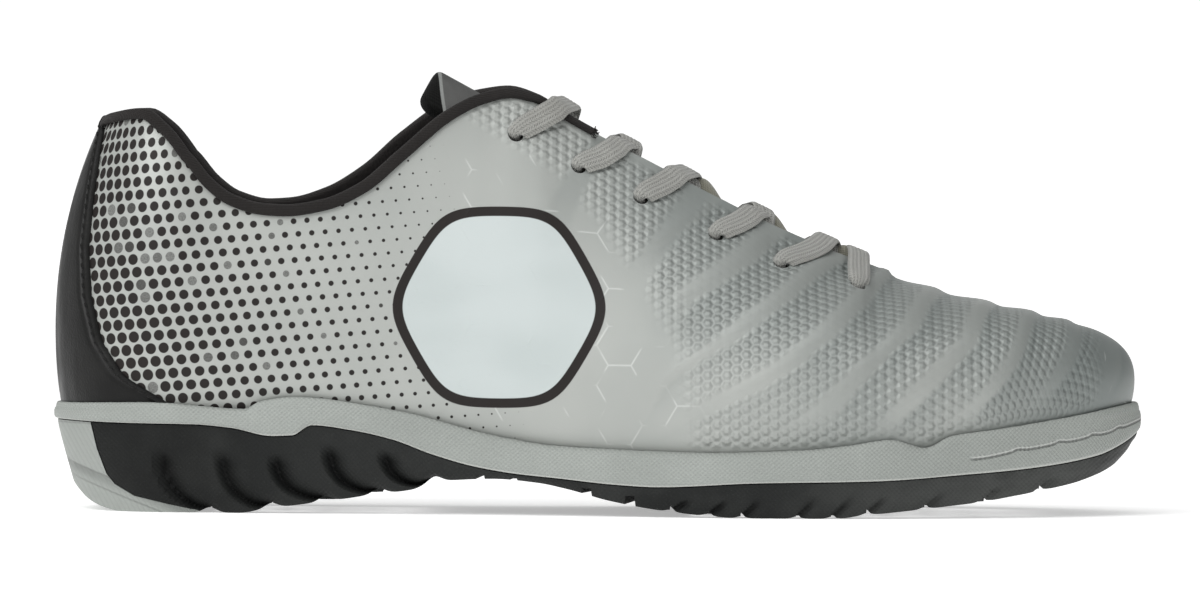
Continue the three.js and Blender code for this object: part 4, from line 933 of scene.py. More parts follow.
class StageOperator(bpy.types.Operator):
    """Adds the camera, the plain floor, the soft lights and the pale surroundings."""

    bl_idname = "turf_shoe.stage"
    bl_label = "Stage"

    def execute(self, context):
        sizes = sizes_of("stage")
        scene = context.scene
        scene.view_settings.view_transform = "Standard"
        optics = bpy.data.cameras.new("camera")
        optics.sensor_width, optics.lens, optics.clip_end = 36, 337.5, 50
        camera = place_object("camera", optics)
        aim = Vector(((145.3 - ORIGIN[0]) * MM, -ORIGIN[1] * MM, 0.0576))
        down = sizes.elevation
        camera.location = aim + Vector((0, -math.cos(down), math.sin(down))) * sizes.distance
        turned = Euler((math.pi / 2 - down, 0, 0)).to_quaternion() @ Euler((0, 0, sizes.roll)).to_quaternion()
        camera.rotation_euler = turned.to_euler()
        scene.camera = camera

        bm = bmesh.new()
        bmesh.ops.create_circle(bm, cap_ends=True, segments=96, radius=9.0)
        mesh = bpy.data.meshes.new("floor")
        bm.to_mesh(mesh)
        bm.free()
        f = Finish("floor paint")
        mesh.materials.append(f.done(
            Base_Color=sizes.floor, Roughness=0.85, Specular_IOR_Level=0.1, Emission_Color=(1, 1, 1),
            Emission_Strength=f.span(f.vector("LENGTH", f.place), 0.4, 3.0, 0.4, 0.75),
        ))
        place_object("floor", mesh)

        world = bpy.data.worlds.new("pale room")
        world.use_nodes = True
        background = next(n for n in world.node_tree.nodes if n.type == "BACKGROUND")
        room = Nodes(world.node_tree)
        x, y, z = room.xyz(room.add("TexCoord", out="Generated"))
        walls = room.span(y, -1, 0.3, 0.84, 0.45, False) * room.span(x, 0, 1, 1, 0.5, False)
        walls = walls * room.span(z, 0.2, 1, 1, 0.9, False)
        backdrop = room.span(y, 0.9, 0.97, 0, 1.05, False)
        room.put(background.inputs["Color"], (1, 1, 1))
        room.put(background.inputs["Strength"], room.math("MAXIMUM", walls, backdrop))
        scene.world = world

        for name, place, size, power in (
            ("top softbox", (-0.15, -0.25, 1.35), (1.3, 0.9), sizes.top_light),
            ("front softbox", (-1.0, -1.3, 1.5), (1.2, 1.2), sizes.front_light),
        ):
            light = bpy.data.lights.new(name, "AREA")
            light.shape, light.size, light.size_y, light.energy = "RECTANGLE", *size, power
            lamp = place_object(name, light)
            lamp.location = place
            lamp.rotation_euler = (Vector((0, 0, 0.05)) - Vector(place)).to_track_quat("-Z", "Y").to_euler()
        return {"FINISHED"}


# Skin

SIDE_PLACES = np.concatenate((np.linspace(0, 1, 34)[:-1], np.linspace(1, 4, 166)[:-1], np.linspace(4, 5, 44)))
HEEL_ARC = 34.7  # radius that the printed dots are unrolled from, round the heel
FAR_STEP = 14.0  # spacing of the valleys before the first drawn one and after the last
FILM = 1.0  # thickness of the silver film, with the cloth behind it
LACE_BANDS = (  # x and z along each smooth band
    ((176, 92), (166, 78.5), (157, 66), (150, 54)),
    ((150, 100), (141, 91.5), (135.5, 82), (133, 74)),
)
LIGHT_LEVELS = (31, 57, 85)
PRESSED_FROM = table(  # where the honeycomb starts at each height
    "z x", (20, 171), (44, 168), (58, 160), (76, 148), (92, 133), (107, 108),
)
LIGHT = table(  # how light the film is low down, in the middle and up at the laces: partly the film's own darker teal tone, partly painted shade on the lace area and the toe
    "x low middle high", (0, 1, 1, 1), (120, 1, 0.98, 0.9), (140, 0.98, 0.96, 0.8), (155, 0.96, 0.78, 0.54),
    (175, 0.98, 0.4, 0.38), (190, 0.88, 0.4, 0.34), (205, 0.6, 0.42, 0.33), (220, 0.58, 0.38, 0.33),
    (237, 0.8, 0.37, 0.36), (252, 0.5, 0.39, 0.35), (268, 0.31, 0.24, 0.24), (279, 0.15, 0.12, 0.13),
    (290, 0.3, 0.24, 0.24),
)


def both_sides(places, seam=1):
    """The outer side's places and then the inner side's, without the first ones of the inner side."""
    return np.repeat((float(OUTER), float(INNER)), (len(places), len(places) - seam))


def ring_of(places):
    """Sides and places of both half outlines: the outer one from heel to toe, then the inner one back."""
    return both_sides(places, 2), np.concatenate((places, places[1:-1][::-1]))


def heel_along(place):
    return HEEL_CENTRE - (1 - place) * math.pi / 2 * HEEL_ARC


def flat_map(side, place, level):
    """The skin unrolled, in millimetres: along the shoe, and down from the ridge or the collar."""
    points = skin_grid(side, place, level)
    steps = np.linalg.norm(np.diff(points, axis=1), axis=-1)
    down = np.cumsum(steps[:, ::-1], axis=1)[:, ::-1]
    down = np.concatenate((down, np.zeros((len(side), 1))), 1) + top_edge(side, place)[0][:, None]
    toe, a = place > 4, np.where(place > 4, 5 - place, 1) * math.pi / 2
    along = np.where(place < 1, heel_along(place), np.where(toe, TOE_CENTRE, x_of(place)))
    u = along[:, None] + np.where(toe, np.cos(a), 0)[:, None] * down
    v = np.where(toe, np.sin(a), 1)[:, None] * down
    return points, u, v


def rise_of(points, v, place):
    """Height over the ground measured over the skin, so that the pressed cells lie in rows along the sole."""
    total = v[:, 0] + points[:, 0, 2]
    first, last = total[place == 4], total[place == 1]
    outer_half = np.arange(len(place)) <= len(place) // 2
    out = np.where(place > 4, np.where(outer_half, first[0], first[-1]), np.where(place < 1, last.mean(), total))
    return out[:, None] - v


def valley_phase(u, v):
    """How many valleys lie behind each point, with its share of the way to the next, and the valleys' strength."""
    places = SIDE_PLACES[SIDE_PLACES >= 1.5]
    points, all_u, all_v = flat_map(np.full(len(places), float(OUTER)), places, np.linspace(0.05, 1, 120))
    lines, ends = [], []
    for valley in VALLEYS:
        nearest = [np.argmin((points[..., 0] - x) ** 2 + (points[..., 2] - z) ** 2) for x, z in valley]
        s, line = np.array(sorted((all_v.ravel()[k], all_u.ravel()[k]) for k in nearest)).T
        ends.append(s[-1])
        before = np.clip((line[1] - line[0]) / max(s[1] - s[0], 1), -1.2, 0.2)
        after = (line[-1] - line[-2]) / max(s[-1] - s[-2], 1)
        lines.append(np.interp(v, s, line) + np.minimum(v - s[0], 0) * before + np.maximum(v - s[-1], 0) * after)
    for k in range(1, len(lines)):
        lines[k] = np.maximum(lines[k], lines[k - 1] + 6)
    last = len(lines) - 1
    phase = (u - lines[0]) / FAR_STEP
    for k in range(last):
        step = (u - lines[k]) / (lines[k + 1] - lines[k])
        phase = np.where(u >= lines[k], k + np.clip(step, 0, 1), phase)
    phase = np.where(u > lines[last], last + (u - lines[last]) / FAR_STEP, phase)
    end = np.interp(phase, np.arange(len(ends)), ends)
    strength = fade(v, end - 3, end + 9) * ease(phase, -0.45, 0.1) * fade(phase, last + 0.2, last + 0.75)
    return phase, strength


def lace_bands(x, z):
    """How much a place lies in the smooth, darker bands that run down from between the eyelets."""
    found = np.zeros_like(x)
    for line in LACE_BANDS:
        away = np.full_like(x, 99.0)
        for (ax, az), (bx, bz) in zip(line[:-1], line[1:]):
            t = np.clip(((x - ax) * (bx - ax) + (z - az) * (bz - az)) / ((bx - ax) ** 2 + (bz - az) ** 2), 0, 1)
            away = np.minimum(away, np.hypot(x - ax - t * (bx - ax), z - az - t * (bz - az)))
        found = np.maximum(found, fade(away, 2.2, 4.6))
    return found


def skin_design(side, place, level):
    """Skin points pressed into valleys, with the values that its material reads at each point."""
    points, u, v = flat_map(side, place, level)
    x, z = points[..., 0], points[..., 2]
    phase, strength = valley_phase(u, v)
    f = phase - np.floor(phase)
    down = v - top_edge(side, place)[0][:, None]
    lip = lip_z(x)

    # Each valley rises slowly to its crest and falls fast. Towards the toe it is deeper near the ridge.
    rise = np.where(f < 0.7, -1 + 2 * ease(f, 0.0, 0.7), 1 - 2 * ease(f, 0.7, 1.0))
    clear = np.where(x < 219, ease(down, 1.0, 9.0), 1.0) * ease(z, lip + 1, lip + 9)
    deep = mix(0.55, 0.85, ease(x, 175, 205)) * mix(1.0, 0.62, ease(x, 215, 250)) * fade(x, 266, 282)
    height = (rise - 0.25) * strength * clear * deep * mix(1.0, 0.6, ease(v, 20, 55))
    normal = skin_normal(side[:, None], place[:, None], level[None, :])
    points = points + normal * (height * sizes_of("skin").rib_height / MM)[..., None]

    # Painted shade in each valley's trough, stronger towards the toe and weaker further down the side; the smooth bands
    # under the laces are darkened too
    shade = np.maximum(np.where(f < 0.55, 1 - f / 0.55, 0) ** 1.4, ease(f, 0.86, 1.0))
    valley = shade * strength * mix(0.35, 1.0, ease(x, 170, 235)) * mix(1.0, 0.5, ease(v, 15, 60))
    band = lace_bands(x, z)
    valley = np.maximum(valley * ease(z, lip, lip + 8), 0.4 * band * ease(z, 62, 88))

    rear = np.interp(z, PRESSED_FROM["z"], PRESSED_FROM["x"])
    pressed = ease(x, rear - 5, rear + 5) * fade(x, 272, 281)
    crest = ease(f, 0.52, 0.66) * fade(f, 0.9, 1.0) * strength
    cells = pressed * (1 - 0.93 * crest) * (1 - 0.95 * band) * ease(down, 2.0, 4.5) * ease(z, lip + 0.5, lip + 3)
    drawn = (1 - pressed) * ease(x, 96, 112) * fade(z, 96, 104) * ease(down, 8, 14)

    # Tone of the film over the shoe: partly its own teal tone, partly painted shade on the lace area and the toe
    low, middle, high = (np.interp(x, LIGHT["x"], LIGHT[key]) for key in ("low", "middle", "high"))
    bottom, half_way, top = LIGHT_LEVELS
    lower, upper = mix(low, middle, ease(z, bottom, half_way)), mix(middle, high, ease(z, half_way, top))
    light = np.where(z < half_way, lower, upper)
    # Painted highlight along the valleys' crests, fading out up at the laces and at the toe
    light = np.clip(light + 0.18 * crest * fade(z, 66, 88) * fade(x, 250, 268), 0, 1)
    flat = np.zeros_like(u)
    side_u = np.where(place[:, None] < 1, heel_along(place)[:, None], x)
    return points, {
        "wrap": np.stack((rise_of(points, v, place), u, flat), -1), "side": np.stack((side_u, z, flat), -1),
        "cells": cells, "valley": valley, "lines": drawn, "light": light,
    }


def eyelet_across(side, x):
    return side * (top_edge(side, place_of(x))[0] + EYELET_SET * curve(EYELETS, "set", (x - HEEL_CENTRE) / BODY))


class Instep:
    """The skin over the laces: along the shoe, and across it measured over the eyestays."""

    STEP = 0.5

    def __init__(self):
        self.x = np.arange(96.0, 234.0, 1.0)
        self.s = np.arange(0.0, 46.0, self.STEP)
        level = np.linspace(1, 0.3, 200)
        self.rows = {}
        for side in (OUTER, INNER):
            lines = skin(float(side), place_of(self.x)[:, None], level[None, :])
            steps = np.linalg.norm(np.diff(lines, axis=1), axis=-1)
            away = np.concatenate((np.zeros((len(self.x), 1)), np.cumsum(steps, 1)), 1)
            self.rows[side] = np.stack([
                np.stack([np.interp(self.s, run, line[:, k]) for k in range(3)], -1) for run, line in zip(away, lines)
            ])

    def point(self, x, across):
        x, across = np.broadcast_arrays(np.asarray(x, float), np.asarray(across, float))
        side, a = np.where(across < 0, OUTER, INNER), np.abs(across)
        edge, z, _ = top_edge(side.astype(float), place_of(x))
        other = top_edge(-side.astype(float), place_of(x))[1]
        out = np.clip(a / np.maximum(edge, 1e-6), 0, 1)
        over = np.stack((x, centre_y(x) + side * a, mix((z + other) / 2, z, out) + 1.4 * (1 - out ** 2)), -1)
        i = np.clip(x - self.x[0], 0, len(self.x) - 1.001)
        j = np.clip((a - edge) / self.STEP, 0, len(self.s) - 1.001)
        i0, j0 = i.astype(int), j.astype(int)
        fi, fj = (i - i0)[..., None], (j - j0)[..., None]
        found = np.zeros_like(over)
        for s, rows in self.rows.items():
            p = mix(mix(rows[i0, j0], rows[i0 + 1, j0], fi), mix(rows[i0, j0 + 1], rows[i0 + 1, j0 + 1], fi), fj)
            found = np.where((side == s)[..., None], p, found)
        return np.where((a < edge)[..., None], over, found)

    def normal(self, x, across, d=0.8):
        along = self.point(x + d, across) - self.point(x - d, across)
        over = self.point(x, across + d) - self.point(x, across - d)
        return unit(np.cross(along, over))


def read_layer(data, field, width):
    found = np.empty(len(data) * width, np.float32)
    data.foreach_get(field, found)
    return found.reshape(-1, width)


def point_layers(mesh):
    """The values that the mesh carries at its corners, with the field and the width of each."""
    fields = {"FLOAT": ("value", 1), "FLOAT_VECTOR": ("vector", 3)}
    layers = [a for a in mesh.attributes if a.domain == "POINT" and a.data_type in fields and a.name != "position"]
    return [(layer, *fields[layer.data_type]) for layer in layers]


def punch(obj, pins, places, reach=7.0 * MM):
    """Cuts round holes. The new corners take the values that the skin carried there before."""
    old = read_layer(obj.data.vertices, "co", 3)
    kept = {layer.name: read_layer(layer.data, *how) for layer, *how in point_layers(obj.data)}
    for tool in pins:
        cut(obj, tool)
    new = read_layer(obj.data.vertices, "co", 3)
    near = [[np.linalg.norm(corners - place, axis=1) < reach for corners in (old, new)] for place in places]
    for layer, field, width in point_layers(obj.data):
        values = read_layer(layer.data, field, width)
        for before, after in near:
            away = np.linalg.norm(new[after][:, None] - old[before][None], axis=-1)
            values[after] = kept[layer.name][before][np.argmin(away, axis=1)]
        layer.data.foreach_set(field, values.ravel())


def pin(name, middle, axis, radius, depth=9.0, corners=28):
    """A closed many-sided pin about an axis, for cutting."""
    first = unit(np.cross(axis, (0.3, 0.9, 0.1)))
    a = np.arange(corners)[:, None] * 2 * math.pi / corners
    ring = middle + radius * (np.cos(a) * first + np.sin(a) * np.cross(axis, first))
    return sweep(name, np.stack((ring - axis * depth / 2, ring + axis * depth / 2)))


class SkinOperator(bpy.types.Operator):
    """Builds the silver skin with its pressed forefoot, its cloth backing and the punched eyelets."""

    bl_idname = "turf_shoe.skin"
    bl_label = "Skin and lining"

    def execute(self, context):
        side, place = ring_of(SIDE_PLACES)
        level = np.concatenate((np.linspace(0, 0.25, 12)[:-1], np.linspace(0.25, 1, 54)))
        points, design = skin_design(side, place, level)
        values = {key: value.reshape(len(side) * len(level), -1).squeeze() for key, value in design.items()}
        upper = closed_wall(
            "skin", points.reshape(-1, 3), grid_faces(len(side), len(level), True),
            np.full(len(side) * len(level), FILM), silver_skin(sizes_of("skin")), values,
        )
        side, place = ring_of(np.append(SIDE_PLACES[::2], 5))
        level = np.linspace(0, 1, 40)
        cloth = woven_cloth("lining cloth", sizes_of("trim").lining, 0.9, mesh_like=True)
        inside = closed_wall(
            "lining", skin_grid(side, place, level).reshape(-1, 3),
            grid_faces(len(side), len(level), True), wall_at(place[:, None], level[None, :]).ravel(), cloth,
            lift=-FILM - 0.05,
        )
        instep = Instep()
        holes = [(x, eyelet_across(s, x)) for x in EYELET_X for s in (OUTER, INNER)]
        places = [(instep.point(*hole) - ORIGIN) * MM for hole in holes]
        for piece, radius in ((upper, EYELET_RADIUS), (inside, EYELET_RADIUS + 0.2)):
            punch(piece, [pin("punch", instep.point(*hole), instep.normal(*hole), radius) for hole in holes], places)
            finish(shade_by_angle(piece, 50), "silver_skin", "upper")
        return {"FINISHED"}


# Trim

BINDING_END = at_body(0.512)
TAPE_SHOWN = 0.84  # share of the binding's width that the tape has
TAPE_END = 0.66
FRAYED = 46  # threads at each end of the tape
QUARTER_TURN = 54  # millimetres of skin in a quarter turn round the heel
COUNTER_EDGE = table(
    "z x", (0.27, 0.11), (0.288, 0.098), (0.334, 0.069), (0.418, 0.048), (0.528, 0.0376), (0.651, 0.0345),
    (0.78, 0.0386), (0.917, 0.0448), (1.05, 0.053),
)


def rim_path(end):
    """Sides and places along the rim, from the outer end round the heel to the inner one."""
    places = np.append(SIDE_PLACES[SIDE_PLACES < end], end)
    return both_sides(places), np.concatenate((places[::-1], places[1:]))


def rim_frames(side, place):
    """Places along the upper's rim, with the direction out of the skin and the direction up out of the rim."""
    along = unit(skin(side, place + 0.01, 1.0) - skin(side, np.maximum(place - 0.01, 0), 1.0))
    normal = skin_normal(side, place, 0.996)
    return skin(side, place, 1.0), normal, unit(np.cross(along, normal) * side[:, None])


def tape_loop(extra=0.0, share=TAPE_SHOWN):
    """The folded tape in section: out of the skin, and up from the rim, with a share of its full width."""
    thick = GAP + BINDING_THICK + extra
    out, inside = thick, -(RIM_WALL + thick)
    middle, half = (out + inside) / 2, (out - inside) / 2
    leg = -BINDING_WIDTH * share - extra
    thin = half - BINDING_THICK
    a = np.linspace(0, math.pi, 13)
    return np.array((
        (out - 0.25, leg), (out, leg + 0.3), (out + 0.12, leg * 0.5),
        *zip(middle + half * np.cos(a), thick * np.sin(a)),
        (inside - 0.12, leg * 0.5), (inside, leg - 0.4), (inside + 0.3, leg - 0.7), (inside + BINDING_THICK, leg),
        *zip(middle + thin * np.cos(a[::-1]), 0.12 * np.sin(a[::-1])),
        (out - BINDING_THICK, leg),
    ))


def counter_grid():
    """The heel patch as a grid round the back from edge to edge, with the distance to the nearer edge."""
    p, j, t = np.linspace(0, 1.4, 281), np.linspace(0, 1, 46), np.linspace(0, 1, 401)
    columns = np.linspace(-1, 1, 97)
    rows = np.arange(len(j))
    grids = []
    for side in (OUTER, INNER):
        line = skin(float(side), p[:, None], t[None, :])
        low = t[np.argmax(line[..., 2] > lip_z(0) + 0.15, axis=1)]
        away = np.linalg.norm(line - line[:, -1:], axis=-1)
        high = t[np.argmax(away < BINDING_WIDTH + 0.5, axis=1)]
        grid = skin(float(side), p[:, None], mix(low[:, None], high[:, None], j[None, :]))
        edge_x = np.interp(grid[..., 2] / HEEL_HEIGHT, COUNTER_EDGE["z"], COUNTER_EDGE["x"]) * LENGTH
        beyond = grid[..., 0] - edge_x
        k = np.argmax(beyond > 0, axis=0)
        before, after = beyond[k - 1, rows], beyond[k, rows]
        edge_place = p[k - 1] + (p[1] - p[0]) * -before / (after - before)
        mine = np.abs(columns[columns <= 0] if side == OUTER else columns[columns > 0])[:, None]
        place = mine * edge_place[None, :]
        level = mix(np.interp(place, p, low), np.interp(place, p, high), j[None, :])
        grids.append((np.full(place.shape, float(side)), place, level, (1 - mine) * edge_place[None, :] * QUARTER_TURN))
    return [np.concatenate(parts) for parts in zip(*grids)]


class Planting(Nodes):
    """A tree of geometry nodes that lays one solid at each point of a mesh."""

    def __init__(self, name, numbers, paint, output):
        tree = bpy.data.node_groups.new(name, "GeometryNodeTree")
        for label, kind in (("Points", "Geometry"), *((number, "Float") for number in numbers), (paint, "Material")):
            tree.interface.new_socket(label, in_out="INPUT", socket_type="NodeSocket" + kind)
        tree.interface.new_socket(output, in_out="OUTPUT", socket_type="NodeSocketGeometry")
        super().__init__(tree)
        self.given = {socket.name: Value(self, socket) for socket in tree.nodes.new("NodeGroupInput").outputs}
        self.paint = paint

    def carried(self, name):
        """A vector that each point of the mesh carries."""
        kind = "GeometryNodeInputNamedAttribute"
        return self.add(kind, named={"Name": name}, out="Attribute", data_type="FLOAT_VECTOR")

    def lay(self, solid, smooth=False, **how):
        """Ends the tree: the solids become one mesh with the given material."""
        named = {"Points": self.given["Points"], "Instance": solid, **how}
        laid = self.add("GeometryNodeInstanceOnPoints", named=named)
        if smooth:
            laid = self.add("GeometryNodeSetShadeSmooth", laid)
        real = self.add("GeometryNodeRealizeInstances", laid)
        named = {"Geometry": real, "Material": self.given[self.paint]}
        painted = self.add("GeometryNodeSetMaterial", named=named)
        self.put(self.tree.nodes.new("NodeGroupOutput").inputs[0], painted)
        return self.tree


def stitch_tree():
    """One thread for each point, laid along it and raised from the skin."""
    n = Planting("stitches", ("Length", "Thickness"), "Thread", "Stitches")
    thread = n.add("GeometryNodeMeshUVSphere", named={"Segments": 10, "Rings": 6, "Radius": 0.5}, out="Mesh")
    thick = n.given["Thickness"]
    axes = {"Primary Axis": n.carried("along"), "Secondary Axis": n.carried("out")}
    turn = n.add("FunctionNodeAxesToRotation", named=axes, primary_axis="X", secondary_axis="Z")
    return n.lay(thread, True, Rotation=turn, Scale=n.combine(n.given["Length"], thick, thick))


def stud_tree():
    """A six-sided stud at each point, narrower at the ground."""
    n = Planting("studs", ("Radius", "Taper"), "Rubber", "Studs")
    radius = n.given["Radius"]
    sizes = {"Vertices": 6, "Depth": 1.0, "Radius Top": radius, "Radius Bottom": radius * n.given["Taper"]}
    return n.lay(n.add("GeometryNodeMeshCone", named=sizes, out="Mesh"), Scale=n.carried("size"))


def grow(name, tree, points, attributes, inputs):
    """A plain mesh from a tree of nodes, run on points that carry their own directions."""
    obj = make_object(name, points, [], None, attributes)
    modifier = obj.modifiers.new("nodes", "NODES")
    modifier.node_group = tree
    for item in tree.interface.items_tree:
        if item.in_out == "INPUT" and item.name in inputs:
            modifier[item.identifier] = inputs[item.name]
    return apply_modifiers(obj)


def spaced(points, directions, pitch):
    """Places at an even pitch along a line of points, with the line's own direction and the given ones."""
    run = np.concatenate(([0], np.cumsum(np.linalg.norm(np.diff(points, axis=0), axis=1))))
    at = np.arange(pitch / 2, run[-1], pitch)
    found = [
        np.stack([np.interp(at, run, values[:, k]) for k in range(3)], -1)
        for values in (points, np.gradient(points, axis=0), directions)
    ]
    return found[0], unit(found[1]), unit(found[2])


class TrimOperator(bpy.types.Operator):
    """Builds the heel patch with its stitched ridge, and the tape folded over the rim."""

    bl_idname = "turf_shoe.trim"
    bl_label = "Heel patch and binding"

    def execute(self, context):
        sizes = sizes_of("trim")
        side, place, level, d = counter_grid()
        base, normal = skin(side, place, level), skin_normal(side, np.maximum(place, 0.002), level)
        width = sizes.seam_width / MM
        seam = width * 0.62
        rounded = np.sqrt(np.clip(1 - (1 - np.clip(d / 0.9, 0, 1)) ** 2, 0, 1))
        ridge = 0.4 * np.exp(-(((d - seam) / (width * 0.36)) ** 2))
        ditch = 0.22 * np.exp(-(((d - width * 1.45) / 0.6) ** 2))
        outer = base + normal * (0.35 + 0.8 * rounded + ridge - ditch)[..., None]
        sheets = np.concatenate((outer.reshape(-1, 3), (base + normal * 0.02).reshape(-1, 3)))
        faces = wall_faces(grid_faces(*side.shape)[:, ::-1].tolist(), side.size)
        patch = turn_outwards(make_object("heel_patch", sheets, faces, smooth_leather(sizes)))
        finish(shade_by_angle(patch, 60), "black_leather", "heel_counter")

        rows, half = [], len(d) // 2
        for order in (1, -1):
            near, corners = d[::order][:half], outer[::order][:half]
            line = [[np.interp(seam, near[:, r], corners[:, r, k]) for k in range(3)] for r in range(d.shape[1])]
            rows.append(spaced(np.array(line), normal[::order][0], sizes.stitch_pitch / MM))
        points, along, out = (np.concatenate(parts) for parts in zip(*rows))
        stitches = grow(
            "heel_stitches", stitch_tree(), points + out * 0.05,
            {"along": unit(along + 0.35 * np.cross(out, along)), "out": out},
            {
                "Length": sizes.stitch_length, "Thickness": 0.0007,
                "Thread": woven_cloth("black thread", times(sizes.leather, 1.7), 0.5),
            },
        )
        finish(stitches, "black_leather")

        tape = woven_cloth("binding tape", sizes.tape, 0.7, 0.0001)
        path_side, path_place = rim_path(BINDING_END)
        rim, out, up = rim_frames(path_side, path_place)
        shares = TAPE_SHOWN * mix(1, TAPE_END, ease(path_place, BINDING_END - 0.35, BINDING_END - 0.05))
        for name, where, loops, nodes in (
            ("binding", slice(None), np.stack([tape_loop(0, share) for share in shares]), ("collar_binding",)),
            ("binding_joint", path_place < 0.085, tape_loop(0.3)[None], ()),
        ):
            rings = rim[where][:, None] + out[where][:, None] * loops[..., :1] + up[where][:, None] * loops[..., 1:]
            finish(shade_by_angle(sweep(name, rings, tape), 60), "black_tape", *nodes)

        rng = np.random.default_rng(7)
        turn = np.arange(5)[:, None] * 2 * math.pi / 5
        threads = []
        for end, before in ((0, 1), (-1, -2)):
            forward = unit(rim[end] - rim[before])
            for _ in range(FRAYED):
                start = rim[end] + out[end] * rng.uniform(-2.6, 1.2) + up[end] * rng.uniform(-2.2, 1.0)
                way = unit(forward + 0.5 * rng.normal(size=3))
                bend = rng.normal(size=3) * 0.5 + up[end] * 0.5
                run = np.linspace(0, 1, 6)[:, None] * rng.uniform(0.7, 1.0 + 2.6 * rng.uniform() ** 2)
                line = start + way * run + bend * run * run * 0.16
                across = unit(np.cross(way, (0.1, 0.3, 1)))
                ring = 0.15 * (np.cos(turn) * across + np.sin(turn) * np.cross(way, across))
                threads.append(sweep("thread", line[:, None] + ring[None], tape))
        finish(join(threads, "frayed_threads"), "black_tape")
        return {"FINISHED"}


# Tongue

TONGUE = table(
    "at turn deep wide", (0.312, 58, 1, 1.08), (0.325, 68, 1, 1.08), (0.35, 70, 1, 1.06), (0.39, 70, 1, 1.03),
    (0.44, 72, 1, 1), (0.6, 66, 1, 1), (0.74, 60, 1, 1), (0.8, 54, 1, 1), (0.845, 45, 0.75, 1),
    (0.875, 36, 0.45, 1), (0.895, 26, 0.35, 1),
)
TONGUE_START = 0.312
TONGUE_FREE = 0.44
TONGUE_FRONT = 0.895
TONGUE_SLOPE = 0.54
TONGUE_THICK = 4.5
ARCH_DROP = 22.0
LACE_ROOM = 3.4
PUFF_LENGTH = 5.4
PUFF_HALF = 9.5
PUFFS = (0.4, 0.75, 1.0, 1.0, 0.85)  # swell between two eyelets, from the collar to the toe


def roof_from(side, place, angle):
    """Distance from the line that the arch turns about to the skin, or to the plane between the throat's edges."""
    edge, top, _ = (float(v) for v in top_edge(np.float64(side), np.float64(place)))
    if math.atan2(edge, ARCH_DROP) >= angle:
        return ARCH_DROP / math.cos(angle)
    r, z = section(np.full(151, float(side)), np.full(151, float(place)), np.linspace(1, WIDEST, 151))
    turned = np.arctan2(r, z - top + ARCH_DROP)
    k = int(np.argmax(turned >= angle))
    return math.hypot(r[k], z[k] - top + ARCH_DROP) if turned[k] >= angle else ARCH_DROP


def tongue_points(shares, across):
    """A grid over the tongue: along it as shares of the body, across it from -1 to 1."""
    rows = []
    for b in shares:
        own = max(b, TONGUE_FREE)
        place = at_body(own)
        turn = math.radians(float(curve(TONGUE, "turn", b, True)))
        binding = (BINDING_THICK + 2 * GAP) * (1 - float(ease(own, 0.55, 0.62)))
        deep = WALL + GAP + binding + LACE_ROOM * float(curve(TONGUE, "deep", own, True))
        low = min(roof_from(OUTER, place, turn), roof_from(INNER, place, turn)) - deep
        high = ARCH_DROP - deep
        angle = np.abs(across) * turn
        reach = mix(high, low, (1 - np.cos(angle)) / (1 - math.cos(turn)))
        y = np.sign(across) * reach * np.sin(angle) * float(curve(TONGUE, "wide", b, True))
        drop = high - reach * np.cos(angle)
        beyond = (own - b) * BODY
        tilt = math.atan(0.5) * float(ease(beyond, -0.01, 0.08 * BODY))
        top = min(float(top_edge(np.float64(s), np.float64(place))[1]) for s in (OUTER, INNER)) - ARCH_DROP + high
        x = float(x_of(place))
        z = top + beyond * TONGUE_SLOPE - drop * math.cos(tilt)
        rows.append(np.stack((x - beyond - drop * math.sin(tilt), float(centre_y(x)) + y, z), -1))
    return np.stack(rows)


def arch(y, half):
    """1 on the centreline and 0 beyond half a width."""
    return np.cos(np.clip(y / half, -1, 1) * math.pi / 2) ** 2


class TongueOperator(bpy.types.Operator):
    """Builds the padded tongue, which swells between the lace crossings."""

    bl_idname = "turf_shoe.tongue"
    bl_label = "Tongue"

    def execute(self, context):
        sizes = sizes_of("trim")
        shares = np.concatenate((
            np.linspace(TONGUE_START, TONGUE_FREE, 13)[:-1], np.linspace(TONGUE_FREE, TONGUE_FRONT, 40)
        ))
        across = np.linspace(-1, 1, 23)
        points = tongue_points(shares, across)
        x, y = points[..., 0], points[..., 1] - centre_y(points[..., 0])
        puff = np.zeros_like(x)
        for size, before, after in zip(PUFFS, EYELET_X[:-1], EYELET_X[1:]):
            puff += size * np.exp(-(((x - mix(before, after, 0.86)) / PUFF_LENGTH) ** 2))
        held = ease(shares, 0.4, 0.46)[:, None]
        points[..., 2] += (np.minimum(puff, 1) * arch(y, PUFF_HALF) * sizes.puff / MM + 1.1 * arch(y, 11)) * held
        thick = TONGUE_THICK * (1 + 0.4 * fade(shares, 0.33, 0.42)) * (1 - 0.6 * ease(shares, 0.7, 0.87))
        # How far the end's face reaches: the black mesh is folded over the end, further down at the sides
        border = (shares[:, None] - shares[0]) * BODY - 0.8 - 6.5 * across[None, :] ** 2
        tongue = closed_wall(
            "tongue_pad", points.reshape(-1, 3), grid_faces(len(shares), len(across)), np.repeat(thick, len(across)),
            tongue_cloth(sizes),
            {"end": np.repeat(fade(shares, 0.46, 0.52), len(across)), "border": border.ravel()},
        )
        soft = tongue.modifiers.new("soft edges", "SUBSURF")
        soft.levels = soft.render_levels = 2
        apply_modifiers(tongue)
        finish(tongue, "tongue_cloth", "tongue")
        return {"FINISHED"}


# Laces

